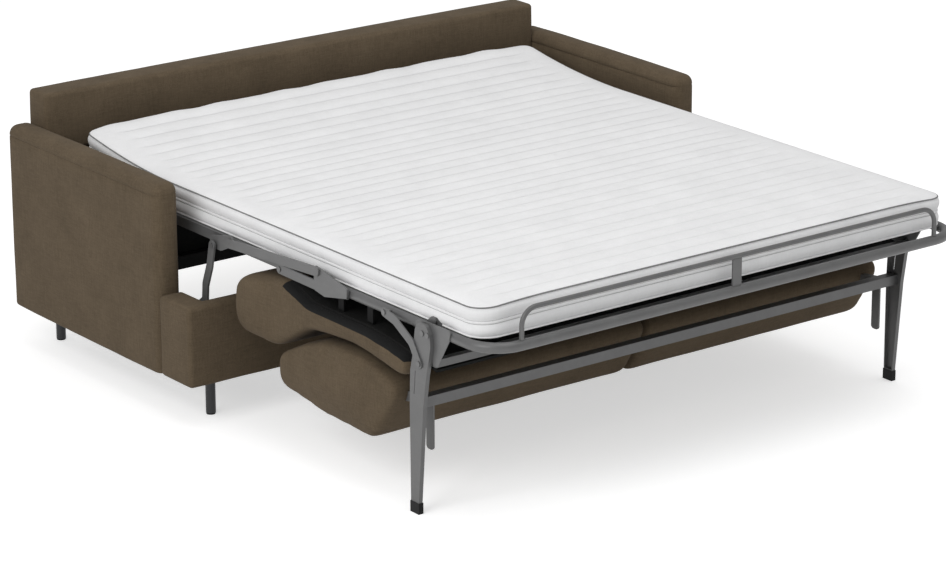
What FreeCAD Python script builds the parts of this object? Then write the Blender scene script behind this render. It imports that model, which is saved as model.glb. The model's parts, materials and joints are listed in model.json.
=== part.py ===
import FreeCAD, Part
import math
import os
from FreeCAD import Placement, Rotation, Vector

# Sofa bed, drawn open: seat and back turned under the bed, mattress flat, bed legs down.
# Millimetres, +Z up, +X to the sitter's left hand, the sofa faces -Y.
# Origin on the floor below the middle of the opened bed.
# Every depth below is measured forward from the rear face of the sofa.

doc = FreeCAD.newDocument("sofa_bed")
sheet = doc.addObject("Spreadsheet::Sheet", "sizes")

SIZES = {
    # outside of the upholstered sofa
    "floor_gap": 116.0,
    "arm_thick": 78.0,
    "arm_depth": 789.0,
    "arm_top": 656.0,
    "arm_round": 22.0,
    "panel_top": 750.0,
    "panel_cap_depth": 95.0,
    "panel_cap_low": 620.0,
    "panel_wall": 16.0,
    "panel_round": 20.0,
    "panel_end_round": 12.0,
    "rail_top": 348.0,
    "rail_thick": 48.0,
    "rail_end_depth": 152.0,
    "rail_round": 24.0,
    "rail_inner_round": 12.0,
    # sofa feet
    "foot_inset": 38.0,
    "foot_rear_depth": 67.0,
    "foot_front_depth": 859.0,
    "foot_radius": 14.0,
    "glide_thick": 4.0,
    "glide_radius": 13.0,
    # fixed steelwork inside the sofa
    "plate_thick": 4.0,
    "plate_flange": 57.0,
    "plate_low_height": 110.0,
    "plate_rear_height": 228.0,
    "plate_rear_length": 66.0,
    "plate_round": 18.0,
    "beam_deep": 24.0,
    "beam_tall": 40.0,
    "beam_wall": 2.0,
    # pivots, as depth from the rear and height from the floor
    "strut_foot_depth": 666.0,
    "strut_foot_height": 185.5,
    "strut_head_depth": 884.0,
    "strut_head_height": 492.0,
    "fold_joint_depth": 1183.0,
    "fold_joint_height": 498.0,
    "foot_joint_depth": 1399.0,
    "foot_joint_height": 496.0,
    "end_joint_depth": 1850.0,
    "end_joint_height": 530.0,
    "back_joint_depth": 1640.0,
    "back_joint_height": 276.0,
    "rear_link_depth": 55.0,
    "rear_link_height": 313.0,
    "head_joint_depth": 216.0,
    "head_joint_height": 506.0,
    "bar_joint_depth": 958.0,
    "bar_joint_height": 514.0,
    "bar_end_depth": 1367.0,
    "bar_end_height": 541.0,
    # bed frame
    "bed_tube": 28.0,
    "bed_level": 506.0,
    "rail_outset": 6.0,
    "bed_corner": 92.0,
    "end_tube_depth": 2079.0,
    "head_inset": 20.0,
    "head_tube_depth": 180.0,
    "head_corner": 60.0,
    "section_seam_depth": 650.0,
    "mid_rail_thick": 14.0,
    "mid_rail_tall": 28.0,
    "slat_thick": 8.0,
    "slat_wide": 60.0,
    "slat_gap": 0.3,
    "mid_slats_start": 820.0,
    "cross_tube": 20.0,
    # flat links, each in its own plane beside the frame
    "link_thick": 5.0,
    "link_wide": 26.0,
    "strut_room": 1.2,
    "side_room": 33.0,
    "strut_thick": 6.0,
    "strut_wide": 26.0,
    "bracket_thick": 3.0,
    "stay_thick": 4.0,
    "rear_link_room": 2.0,
    "side_gap": 0.3,
    # shape of the struts, hinge plates and brackets
    "strut_crank": 168.0,
    "strut_wave": 41.0,
    "strut_bend": 9.0,
    "strut_shaft_radius": 12.5,
    "bracket_reach": 26.0,
    "bracket_rise": 22.0,
    "hinge_plate_near": 47.0,
    "hinge_plate_far": 101.0,
    "hinge_plate_rise": 56.0,
    "hinge_plate_drop": 20.0,
    "boss_long": 22.0,
    "cross_tube_depth": 921.0,
    "cross_tube_drop": 4.0,
    # bed legs and what hangs with them
    "leg_thick": 12.0,
    "leg_wall": 2.5,
    "leg_rear_depth": 1781.0,
    "leg_wide": 34.0,
    "leg_top": 521.0,
    "leg_bend": 12.0,
    "leg_slot_low": 326.0,
    "leg_slot_long": 62.0,
    "leg_slot_wide": 3.0,
    "leg_cap_height": 30.0,
    "leg_cap_grow": 1.5,
    "stay_wide": 24.0,
    "stay_top_depth": 1676.0,
    "stay_top_height": 512.0,
    "stay_low_depth": 1824.0,
    "stay_low_height": 413.0,
    "leg_bracket_near": 60.0,
    "leg_bracket_far": 88.0,
    "leg_bracket_ear": 18.0,
    "seat_bar": 20.0,
    "seat_bar_depth": 1862.0,
    "seat_bar_height": 421.2,
    "cross_bar": 28.0,
    "cross_bar_depth": 1802.0,
    "cross_bar_height": 301.0,
    "back_arm_inset": 19.0,
    "back_stop_room": 0.5,
    "back_arm_thick": 18.0,
    "back_arm_tall": 20.0,
    "back_arm_eye": 18.0,
    "back_arm_drop": 3.0,
    "back_tube_radius": 11.0,
    "back_tube_reach": 835.0,
    "back_slot_room": 1.5,
    "hanger_drop": 128.0,
    "hanger_wide": 30.0,
    "pin_radius": 5.0,
    "rivet_radius": 7.5,
    "rivet_thick": 2.5,
    "lug_outset": 1.0,
    "end_eye": 9.5,
    "end_lug_long": 30.0,
    # bumper loop at the foot of the mattress
    "loop_tube": 13.0,
    "loop_inset": 92.0,
    "loop_height": 600.0,
    "loop_corner": 45.0,
    "loop_strap_wide": 30.0,
    "loop_strap_thick": 5.0,
    # springs and board behind the seat cushions
    "board_front_depth": 1262.0,
    "seat_hanger_near": 1430.0,
    "seat_hanger_far": 1560.0,
    "seat_hanger_long": 24.0,
    # soft pieces
    "soft_gap": 0.3,
    "cushion_room": 27.0,
    "cushion_split": 2.0,
    "cushion_round": 24.0,
    "board_thick": 8.0,
    "board_inset": 2.0,
    # seat outline, drawn face down below the bed
    "seat_roll_depth": 1215.0,
    "seat_roll_top": 480.0,
    "seat_roll_round": 60.0,
    "seat_front_depth": 1003.0,
    "seat_nose_height": 446.0,
    "seat_low_height": 292.0,
    "seat_flat_near": 1335.0,
    "seat_flat_far": 1591.0,
    "seat_flat_height": 438.0,
    "seat_slope_depth": 1702.0,
    "seat_slope_height": 427.0,
    "seat_end_depth": 1776.0,
    "seat_end_height": 414.5,
    "seat_end_thick": 61.0,
    "seat_crown_depth": 1540.0,
    "seat_crown_height": 390.0,
    # back outline, hanging below the seat
    "back_top_depth": 1195.0,
    "back_long": 533.0,
    "back_low_height": 200.0,
    "back_tall": 213.0,
    # mattress
    "mattress_half": 800.0,
    "mattress_top": 609.0,
    "mattress_head_depth": 179.0,
    "mattress_foot_depth": 2029.0,
    "mattress_head_rise": 46.0,
    "mattress_corner": 58.0,
    "quilt_swell": 7.0,
    "quilt_pitch": 60.0,
    "quilt_dip": 3.0,
    "overrun": 5.0,
}



def across(sizes):
    """Places beside the middle plane, from the mattress outwards, with a gap between layers."""
    gap = sizes["side_gap"]
    edge = sizes["mattress_half"]
    tube = sizes["bed_tube"]
    thick = sizes["link_thick"]
    rail = edge + sizes["rail_outset"]
    face = rail + tube / 2
    places = {
        "bed_tube_side": rail,
        "mid_rail_side": edge,
        "bracket_plane": face + gap,
        "leg_plane": face + gap + sizes["bracket_thick"] + gap,
        "link_plane": face + 2 * gap,
        "board_side": face - sizes["board_inset"],
        "head_tube_side": edge - sizes["head_inset"],
        "end_lug_side": edge + sizes["lug_outset"],
        "end_ear_side": edge + sizes["lug_outset"] + thick + gap,
        "back_arm_side": edge - sizes["back_arm_inset"],
        "loop_half_width": edge - sizes["loop_inset"],
    }
    places["plate_plane"] = places["link_plane"] + thick + 2 * gap
    places["bar_plane"] = places["plate_plane"] + thick + 2 * gap
    places["strut_plane"] = places["bar_plane"] + thick + sizes["strut_room"]
    places["stay_plane"] = places["leg_plane"] + sizes["leg_thick"] + gap
    places["rear_link_plane"] = places["head_tube_side"] + tube / 2 + sizes["rear_link_room"]
    places["back_stop_side"] = places["back_arm_side"] - sizes["back_stop_room"] - thick
    web = places["strut_plane"] + sizes["strut_thick"] + sizes["side_room"]
    places["cushion_side"] = web - sizes["cushion_room"]
    places["inside_half"] = web + sizes["plate_thick"]
    places["half_width"] = places["inside_half"] + sizes["arm_thick"]
    places["foot_side"] = places["inside_half"] - sizes["foot_inset"]
    return places


SIZES.update(across(SIZES))

for row, (alias, size) in enumerate(SIZES.items(), start=1):
    sheet.set("A%d" % row, alias)
    sheet.set("B%d" % row, repr(size))
    sheet.setAlias("B%d" % row, alias)
doc.recompute()


def size(alias):
    return float(sheet.get(alias))


def depth(distance):
    """Y of a place that lies this far forward of the sofa's rear face."""
    open_depth = size("end_tube_depth") + size("bed_tube") / 2
    return open_depth / 2 - distance


def bound(name):
    return "sizes." + name


def corner(distance, height, radius=0.0):
    """A corner of a side outline: depth from the rear, height from the floor, rounding."""
    return (depth(distance), height, radius)


def unit(a, b):
    length = math.hypot(b[0] - a[0], b[1] - a[1])
    return ((b[0] - a[0]) / length, (b[1] - a[1]) / length)


def rounded(corners):
    """Closed outline: straight runs between the corners, joined by tangent arcs."""
    runs = []
    arcs = []
    for i, here in enumerate(corners):
        before = corners[i - 1]
        after = corners[(i + 1) % len(corners)]
        back = unit(here, before)
        ahead = unit(here, after)
        radius = here[2]
        turn = math.acos(max(-1.0, min(1.0, back[0] * ahead[0] + back[1] * ahead[1])))
        if radius <= 0 or math.pi - turn < 1e-6:
            runs.append((here[:2], here[:2]))
            arcs.append(None)
            continue
        cut = radius / math.tan(turn / 2)
        start = (here[0] + back[0] * cut, here[1] + back[1] * cut)
        end = (here[0] + ahead[0] * cut, here[1] + ahead[1] * cut)
        middle = (back[0] + ahead[0], back[1] + ahead[1])
        reach = radius / math.sin(turn / 2) / math.hypot(*middle)
        centre = (here[0] + middle[0] * reach, here[1] + middle[1] * reach)
        runs.append((start, end))
        arcs.append(arc_between(centre, radius, start, end))
    edges = []
    for i, (start, end) in enumerate(runs):
        if arcs[i] is not None:
            edges.append(arcs[i])
        following = runs[(i + 1) % len(runs)][0]
        if math.dist(end, following) > 1e-6:
            edges.append(Part.LineSegment(Vector(*end, 0), Vector(*following, 0)))
    return edges


def arc_between(centre, radius, start, end):
    """The short arc from start to end, always drawn anticlockwise."""
    first = math.atan2(start[1] - centre[1], start[0] - centre[0])
    last = math.atan2(end[1] - centre[1], end[0] - centre[0])
    if (last - first) % (2 * math.pi) > math.pi:
        first, last = last, first
    circle = Part.Circle(Vector(*centre, 0), Vector(0, 0, 1), radius)
    return Part.ArcOfCircle(circle, first, last)


END_ROUND_SHARE = 0.98


def strip(route, width, bend=0.0):
    """Outline of a flat bar that follows a route and has round ends."""
    half = width / 2
    cap = half * END_ROUND_SHARE
    left = []
    right = []
    for i, here in enumerate(route):
        before = unit(route[i - 1], here) if i > 0 else unit(here, route[1])
        after = unit(here, route[i + 1]) if i < len(route) - 1 else before
        total = (before[0] + after[0], before[1] + after[1])
        spread = 2 * half / (total[0] ** 2 + total[1] ** 2)
        normal = (-total[1] * spread, total[0] * spread)
        push = 0.0
        if i == 0:
            push = -half
        if i == len(route) - 1:
            push = half
        radius = bend if push == 0.0 else cap
        place = (here[0] + before[0] * push, here[1] + before[1] * push)
        left.append((place[0] + normal[0], place[1] + normal[1], radius))
        right.append((place[0] - normal[0], place[1] - normal[1], radius))
    return left + right[::-1]


def plane_of(body, role):
    return next(f for f in body.Origin.OriginFeatures if f.Role == role)


def new_body(label):
    body = doc.addObject("PartDesign::Body", label)
    body.Label = label
    return body


def sketch_on(body, role, offset, edges, tag="outline"):
    sketch = body.newObject("Sketcher::SketchObject", body.Name + "_" + tag)
    sketch.AttachmentSupport = [(plane_of(body, role), "")]
    sketch.MapMode = "FlatFace"
    sketch.AttachmentOffset = Placement(Vector(0, 0, offset), Rotation())
    sketch.addGeometry(edges, False)
    return sketch


def pad_on(body, role, offset, edges, length, tag="pad"):
    sketch = sketch_on(body, role, offset, edges, tag + "_outline")
    pad = body.newObject("PartDesign::Pad", body.Name + "_" + tag)
    pad.Profile = sketch
    pad.setExpression("Length", length)
    return pad


def pocket_on(body, role, offset, edges, length, tag="pocket"):
    """A cut that runs from the sketch along the plane's own normal."""
    sketch = sketch_on(body, role, offset, edges, tag + "_outline")
    pocket = body.newObject("PartDesign::Pocket", body.Name + "_" + tag)
    pocket.Profile = sketch
    pocket.setExpression("Length", length)
    pocket.Reversed = True
    doc.recompute()
    return pocket


def round_edges(body, base, wanted, radius, tag="round"):
    """Round the edges of the newest feature that the test picks out."""
    doc.recompute()
    names = [
        "Edge%d" % (i + 1)
        for i, edge in enumerate(base.Shape.Edges)
        if wanted(edge)
    ]
    fillet = body.newObject("PartDesign::Fillet", body.Name + "_" + tag)
    fillet.Base = (base, names)
    fillet.setExpression("Radius", radius)
    return fillet


def flat_at(edge, axis, *places):
    """Does the whole edge lie in a plane square to the axis, at one of these places?"""
    box = edge.BoundBox
    low, high = {
        "x": (box.XMin, box.XMax),
        "y": (box.YMin, box.YMax),
        "z": (box.ZMin, box.ZMax),
    }[axis]
    return any(abs(low - p) < 1e-4 and abs(high - p) < 1e-4 for p in places)


def inner_x(side, plane, thick):
    """Where a plate starts along X, so that it grows outwards from its plane."""
    return plane if side > 0 else -(plane + thick)


SIDES = (("left", -1), ("right", 1))
nodes = []


def keep(obj):
    nodes.append(obj)
    return obj


def plate_body(label, side, plane_alias, thick_alias, corners, holes=()):
    """A flat steel piece in the side plane, with round holes for its pins."""
    body = new_body(label)
    edges = rounded(corners)
    for y, z, radius in holes:
        edges.append(Part.Circle(Vector(y, z, 0), Vector(0, 0, 1), radius))
    offset = inner_x(side, size(plane_alias), size(thick_alias))
    pad_on(body, "YZ_Plane", offset, edges, bound(thick_alias))
    return body


def lying_cylinder(label, y, z, x_low, x_high, radius_expression):
    """A round bar along X."""
    rod = doc.addObject("Part::Cylinder", label)
    rod.Label = label
    rod.setExpression("Radius", radius_expression)
    rod.Height = x_high - x_low
    rod.Placement = Placement(Vector(x_low, y, z), Rotation(Vector(0, 1, 0), 90))
    return rod


def group(label, members):
    """Several like pieces that share one node."""
    bundle = doc.addObject("Part::Compound", label)
    bundle.Label = label
    bundle.Links = members
    return keep(bundle)


def box_at(label, low, high):
    block = doc.addObject("Part::Box", label)
    block.Label = label
    block.Length = high[0] - low[0]
    block.Width = high[1] - low[1]
    block.Height = high[2] - low[2]
    block.Placement = Placement(Vector(*low), Rotation())
    return block


# Upholstered sofa shell: two arms, the back panel and the front rail.

def arm(label, side):
    body = new_body(label)
    outer = size("half_width")
    inner = outer - size("arm_thick")
    low, high = sorted((side * inner, side * outer))
    outline = rounded([
        (low, depth(0), 0),
        (low, depth(size("arm_depth")), 0),
        (high, depth(size("arm_depth")), 0),
        (high, depth(0), 0),
    ])
    bottom = size("floor_gap")
    pad = pad_on(body, "XY_Plane", bottom, outline, "sizes.arm_top - sizes.floor_gap")
    round_edges(body, pad, lambda edge: not flat_at(edge, "z", bottom), bound("arm_round"))
    return keep(body)


def back_panel():
    """Thick padded cap that shows over the mattress, thin wall below it."""
    body = new_body("back_panel")
    soft = size("panel_round")
    cap = size("panel_cap_depth")
    outline = rounded([
        corner(0, size("floor_gap")),
        corner(0, size("panel_top"), soft),
        corner(cap, size("panel_top"), soft),
        corner(cap, size("panel_cap_low"), soft),
        corner(size("panel_wall"), size("panel_cap_low")),
        corner(size("panel_wall"), size("floor_gap")),
    ])
    half = size("half_width") - size("arm_thick")
    pad = pad_on(body, "YZ_Plane", -half, outline, "2 * (sizes.half_width - sizes.arm_thick)")
    above = size("arm_top")
    doc.recompute()

    def cap_end(edge):
        return flat_at(edge, "x", -half, half) and edge.BoundBox.ZMin > above

    round_edges(body, pad, cap_end, bound("panel_end_round"))
    return keep(body)


def front_rail():
    """Rail across the front, thick only where its ends meet the arms."""
    body = new_body("front_rail")
    out = size("half_width")
    inner = out - size("arm_thick")
    front = size("arm_depth") + size("rail_end_depth")
    behind = front - size("rail_thick")
    soft = size("rail_round")
    seam = size("rail_inner_round")
    outline = rounded([
        (-out, depth(front), soft),
        (out, depth(front), soft),
        (out, depth(size("arm_depth")), 0.0),
        (inner, depth(size("arm_depth")), seam),
        (inner, depth(behind), 0.0),
        (-inner, depth(behind), 0.0),
        (-inner, depth(size("arm_depth")), seam),
        (-out, depth(size("arm_depth")), 0.0),
    ])
    pad = pad_on(body, "XY_Plane", size("floor_gap"), outline, "sizes.rail_top - sizes.floor_gap")
    top = size("rail_top")
    round_edges(body, pad, lambda edge: flat_at(edge, "z", top), bound("rail_inner_round"))
    return keep(body)


# Round steel feet of the sofa, each with a thin glide under it. Glides and rivet heads are
# drawn with flat sides, because they are small.

ROUND_SIDES = 12


def sofa_feet():
    feet = []
    glides = []
    for end, distance in (("rear", "foot_rear_depth"), ("front", "foot_front_depth")):
        for name, side in SIDES:
            x = side * size("foot_side")
            y = depth(size(distance))
            foot = doc.addObject("Part::Cylinder", "sofa_foot_%s_%s" % (end, name))
            foot.setExpression("Radius", bound("foot_radius"))
            foot.setExpression("Height", "sizes.floor_gap - sizes.glide_thick")
            foot.Placement = Placement(Vector(x, y, size("glide_thick")), Rotation())
            feet.append(foot)
            glide = doc.addObject("Part::Prism", "glide_%s_%s" % (end, name))
            glide.Polygon = ROUND_SIDES
            glide.setExpression("Circumradius", bound("glide_radius"))
            glide.setExpression("Height", bound("glide_thick"))
            glide.Placement = Placement(Vector(x, y, 0), Rotation())
            glides.append(glide)
    group("sofa_feet", feet)
    group("foot_glides", glides)


# Fixed steelwork: a side plate inside each arm and two cross beams.

def side_plate(label, side):
    body = new_body(label)
    thick = size("plate_thick")
    web = size("half_width") - size("arm_thick") - thick
    low = size("floor_gap")
    step = low + size("plate_low_height")
    high = low + size("plate_rear_height")
    front = size("arm_depth") + size("rail_end_depth") - size("rail_thick") - thick
    rear = size("panel_wall") + size("side_gap")
    neck = rear + size("plate_rear_length")
    bend = size("plate_round")
    edges = rounded([
        corner(rear, low),
        corner(rear, high, bend),
        corner(neck, high, bend),
        corner(neck + size("plate_rear_length"), step, bend),
        corner(front, step, bend),
        corner(front, low),
    ])
    hole = size("pin_radius") + size("side_gap")
    y = depth(size("strut_foot_depth"))
    z = size("strut_foot_height")
    edges.append(Part.Circle(Vector(y, z, 0), Vector(0, 0, 1), hole))
    pad_on(body, "YZ_Plane", inner_x(side, web, thick), edges, bound("plate_thick"), "web")
    flange = rounded([
        corner(rear, low),
        corner(rear, low + thick),
        corner(front, low + thick),
        corner(front, low),
    ])
    reach = size("plate_flange")
    offset = inner_x(side, web - reach, reach)
    pad_on(body, "YZ_Plane", offset, flange, bound("plate_flange"), "flange")
    return keep(body)


def cross_beam(label, near):
    """Square steel tube from side plate to side plate, on their flanges."""
    reach = size("half_width") - size("arm_thick") - size("plate_thick")
    low = size("floor_gap") + size("plate_thick")
    deep = size("beam_deep")
    tall = size("beam_tall")
    wall = size("beam_wall")
    outside = box_at(label + "_outside", (-reach, depth(near + deep), low), (reach, depth(near), low + tall))
    inside = box_at(
        label + "_inside",
        (-reach - size("overrun"), depth(near + deep - wall), low + wall),
        (reach + size("overrun"), depth(near + wall), low + tall - wall),
    )
    tube = doc.addObject("Part::Cut", label)
    tube.Label = label
    tube.Base = outside
    tube.Tool = inside
    return tube


arm("left_arm", -1)
arm("right_arm", 1)
back_panel()
front_rail()
sofa_feet()
side_plate("left_side_plate", -1)
side_plate("right_side_plate", 1)
keep(cross_beam(
    "front_beam",
    size("arm_depth") + size("rail_end_depth") - size("rail_thick") - size("plate_thick") - size("beam_deep"),
))
doc.recompute()


# Places and small parts that several pieces of the bed mechanism share.

def spot(distance, height):
    return (depth(distance), height)


def pivot(name):
    return spot(size(name + "_depth"), size(name + "_height"))


def pin_hole(place):
    return (place[0], place[1], size("pin_radius") + size("side_gap"))


def pin(label, side, place, start, end):
    """A round pin along X, from one distance beside the middle plane to another."""
    low, high = sorted((side * start, side * end))
    return lying_cylinder(label, place[0], place[1], low, high, bound("pin_radius"))


def rivet_head(label, side, place, start):
    """A low head on the outer face of a link or leg."""
    head = doc.addObject("Part::Prism", label)
    head.Polygon = ROUND_SIDES
    head.setExpression("Circumradius", bound("rivet_radius"))
    head.setExpression("Height", bound("rivet_thick"))
    x_low = inner_x(side, start, size("rivet_thick"))
    head.Placement = Placement(Vector(x_low, place[0], place[1]), Rotation(Vector(0, 1, 0), 90))
    return head


def flat_bar(label, side, plane_alias, thick_alias, route, width, holes, bend=0.0):
    """A flat link in the side plane that follows a route, with a hole for each pin."""
    rings = [pin_hole(place) for place in holes]
    return plate_body(label, side, plane_alias, thick_alias, strip(route, width, bend), rings)


def add_boss(body, side, start, corners, length, tag="boss"):
    """A spacer pad that grows from the plate towards the middle of the bed."""
    offset = start if side > 0 else -start - length
    sketch = sketch_on(body, "YZ_Plane", offset, rounded(corners), tag + "_outline")
    pad = body.newObject("PartDesign::Pad", body.Name + "_" + tag)
    pad.Profile = sketch
    pad.Length = length
    return pad


def block(near, low, far, high, radius=0.0):
    """Corners of an upright rectangle in the side plane."""
    return [
        corner(near, low, radius),
        corner(near, high, radius),
        corner(far, high, radius),
        corner(far, low, radius),
    ]


def shifted(points, distance):
    """The same run of points moved square to itself, corners mitred."""
    moved = []
    last = len(points) - 1
    for i, here in enumerate(points):
        before = unit(points[i - 1], here) if i > 0 else unit(here, points[1])
        after = unit(here, points[i + 1]) if i < last else before
        total = (before[0] + after[0], before[1] + after[1])
        spread = 2 * distance / (total[0] ** 2 + total[1] ** 2)
        moved.append((here[0] - total[1] * spread, here[1] + total[0] * spread))
    return moved


def inset(corners, distance):
    """A closed clockwise outline drawn in by a wall, its rounding reduced to match."""
    ring = [c[:2] for c in corners]
    count = len(ring)
    around = ring[-1:] + ring + ring[:1]
    moved = shifted(around, -distance)[1:count + 1]
    return [(y, z, max(c[2] - distance, 0.0)) for (y, z), c in zip(moved, corners)]


# Struts that carry the bed from the side plates, joined by a cross shaft.

STRUT_SHARES = ((0.34, 0.37), (0.9, 0.72), (1.0, 1.0))


def struts():
    head = pivot("strut_head")
    foot = pivot("strut_foot")
    route = [head]
    for out, down in STRUT_SHARES:
        route.append((head[0] + size("strut_wave") * out, head[1] - size("strut_crank") * down))
    route.append(foot)
    for name, side in SIDES:
        width = size("strut_wide")
        keep(flat_bar("strut_" + name, side, "strut_plane", "strut_thick", route, width, [head], size("strut_bend")))
    reach = size("strut_plane")
    keep(lying_cylinder("strut_shaft", foot[0], foot[1], -reach, reach, bound("strut_shaft_radius")))
    inner = reach + size("strut_thick")
    outer = size("half_width") - size("arm_thick") - size("side_gap")
    group("strut_foot_pins", [pin("strut_foot_pin_" + n, s, foot, inner, outer) for n, s in SIDES])


# Mid section of the bed frame: flat rails, brackets for the struts, slats.

def mid_section():
    front = size("fold_joint_depth")
    rear = size("section_seam_depth")
    level = size("bed_level")
    half = size("mid_rail_tall") / 2
    inner = size("mid_rail_side")
    for name, side in SIDES:
        outline = [
            corner(rear, level - half),
            corner(rear, level + half),
            corner(front + half, level + half, half * END_ROUND_SHARE),
            corner(front + half, level - half, half * END_ROUND_SHARE),
        ]
        keep(plate_body("mid_rail_" + name, side, "mid_rail_side", "mid_rail_thick", outline))
    brackets = [mid_bracket(name, side) for name, side in SIDES]
    group("mid_brackets", brackets)
    mid_pins()
    y, z = spot(size("cross_tube_depth"), level - size("cross_tube_drop"))
    keep(lying_cylinder("mid_cross_tube", y, z, -inner, inner, "sizes.cross_tube / 2"))
    slats("mid_slats", size("mid_slats_start"), front, MID_SLATS, inner - size("slat_gap"))


MID_SLATS = 3


def mid_bracket(name, side):
    """Plate beside the rail that holds the strut's head pin and the guide bar's pin."""
    level = size("bed_level")
    half = size("mid_rail_tall") / 2
    reach = size("bracket_reach")
    rise = size("bracket_rise")
    soft = size("rivet_radius")
    head = size("strut_head_depth")
    bar = size("bar_joint_depth")
    low = level - half - rise / 2
    outline = [
        corner(head - reach, low, soft),
        corner(head - reach, level + half / 2, soft),
        corner(bar, size("bar_joint_height") + rise, soft),
        corner(bar + rise, size("bar_joint_height"), soft),
        corner(head + reach, low, soft),
    ]
    bracket = plate_body("mid_bracket_" + name, side, "plate_plane", "link_thick", outline)
    start = size("mid_rail_side") + size("mid_rail_thick")
    length = size("plate_plane") - start
    near = head + reach - size("boss_long")
    boss = block(near, level - half / 2, near + size("boss_long"), level + half / 2)
    add_boss(bracket, side, start, boss, length)
    return bracket


def mid_pins():
    rail = size("mid_rail_side") + size("mid_rail_thick")
    bracket = size("plate_plane") + size("link_thick")
    strut_end = size("strut_plane") + size("strut_thick")
    bar_end = size("bar_plane") + size("link_thick")
    link_end = size("link_plane") + size("link_thick")
    pins = []
    for name, side in SIDES:
        head = pivot("strut_head")
        fold = pivot("fold_joint")
        pins.append(pin("strut_head_pin_" + name, side, head, bracket, strut_end + size("side_gap")))
        pins.append(rivet_head("strut_head_rivet_" + name, side, head, strut_end + size("side_gap")))
        pins.append(pin("bar_pin_" + name, side, pivot("bar_joint"), bracket, bar_end))
        pins.append(pin("fold_pin_" + name, side, fold, rail, link_end + size("side_gap")))
        pins.append(rivet_head("fold_rivet_" + name, side, fold, link_end + size("side_gap")))
    group("mid_pins", pins)


def slat_reach(tube_side):
    """Half length of a slat whose ends meet two round side tubes, just above their middle."""
    radius = size("bed_tube") / 2
    lift = radius - size("slat_gap") - size("slat_thick")
    return tube_side - math.sqrt(radius ** 2 - lift ** 2) - size("side_gap")


def slats(label, start, end, count, reach):
    """Flat steel slats level with the top of the frame, evenly spaced between two depths."""
    wide = size("slat_wide")
    top = size("bed_level") + size("bed_tube") / 2 - size("slat_gap")
    step = (end - start - wide) / max(count - 1, 1)
    members = []
    for i in range(count):
        near = start + i * step
        low = (-reach, depth(near + wide), top - size("slat_thick"))
        members.append(box_at("%s_%d" % (label, i + 1), low, (reach, depth(near), top)))
    return group(label, members)


# Links of the fold: the short link carries the foot section, the long bar guides it.

def fold_links():
    ends = [pivot("fold_joint"), pivot("foot_joint")]
    route = [pivot("bar_joint"), spot(size("bar_end_depth"), size("bar_end_height"))]
    wide = size("link_wide")
    links = []
    bars = []
    for name, side in SIDES:
        links.append(flat_bar("fold_link_" + name, side, "link_plane", "link_thick", ends, wide, ends))
        bars.append(flat_bar("guide_bar_" + name, side, "bar_plane", "link_thick", route, wide, route[:1]))
    group("fold_links", links)
    group("guide_bars", bars)


# Foot section: side tubes, hinge plates, slats and the brackets for the bed legs.

def foot_section():
    near = size("foot_joint_depth") - size("bed_tube") / 2
    far = size("end_joint_depth") - size("side_gap")
    side_x = size("bed_tube_side")
    for name, side in SIDES:
        tube = doc.addObject("Part::Cylinder", "foot_rail_" + name)
        tube.Label = tube.Name
        tube.setExpression("Radius", "sizes.bed_tube / 2")
        tube.Height = far - near
        tube.Placement = Placement(Vector(side * side_x, depth(near), size("bed_level")), Rotation(Vector(1, 0, 0), 90))
        keep(tube)
    group("hinge_plates", [hinge_plate(name, side) for name, side in SIDES])
    face = size("plate_plane")
    start = size("link_plane") - size("side_gap")
    group("foot_pins", [pin("foot_pin_" + n, s, pivot("foot_joint"), start, face) for n, s in SIDES])
    margin = size("slat_wide") / 2
    slats("foot_slats", near + margin, far - margin, FOOT_SLATS, slat_reach(side_x))
    group("end_hinge_ears", [end_hinge_ear(name, side) for name, side in SIDES])


FOOT_SLATS = 4


def hinge_plate(name, side):
    """Steel plate on the side tube; the fold link turns on it and the guide bar meets it."""
    level = size("bed_level")
    joint = size("foot_joint_depth")
    rise = size("hinge_plate_rise")
    drop = size("hinge_plate_drop")
    near = joint - size("hinge_plate_near")
    far = joint + size("hinge_plate_far")
    soft = size("rivet_radius")
    outline = [
        corner(near, level - drop, soft),
        corner(near, level + rise - soft, soft),
        corner(joint, level + rise - 2 * soft, soft),
        corner(far, level + drop, soft),
        corner(far, level - soft, soft),
        corner(joint, level - drop - soft, soft),
    ]
    body = plate_body("hinge_plate_" + name, side, "plate_plane", "link_thick", outline)
    start = size("bed_tube_side") + size("bed_tube") / 2
    length = size("plate_plane") - start
    low = level - size("boss_long") / 2
    boss = block(far - 2 * size("boss_long"), low, far - size("pin_radius"), low + size("boss_long"))
    add_boss(body, side, start, boss, length)
    return body


def end_hinge_ear(name, side):
    """Ear on top of the side tube, with the pin that the end section turns on."""
    joint = size("end_joint_depth")
    long = size("end_lug_long")
    outline = lug_outline(joint - long, joint - size("side_gap"))
    body = plate_body("end_hinge_ear_" + name, side, "end_ear_side", "link_thick", outline)
    start = size("end_lug_side") - size("side_gap")
    eye = round_spot(pivot("end_joint"), size("pin_radius"))
    add_boss(body, side, start, eye, size("end_ear_side") - start, "pin")
    return body


def round_spot(place, radius):
    """Square corners rounded so far that they make a circle about the place."""
    y, z = place
    square = [(-1, -1), (-1, 1), (1, 1), (1, -1)]
    return [(y + a * radius, z + b * radius, radius * END_ROUND_SHARE) for a, b in square]


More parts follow.
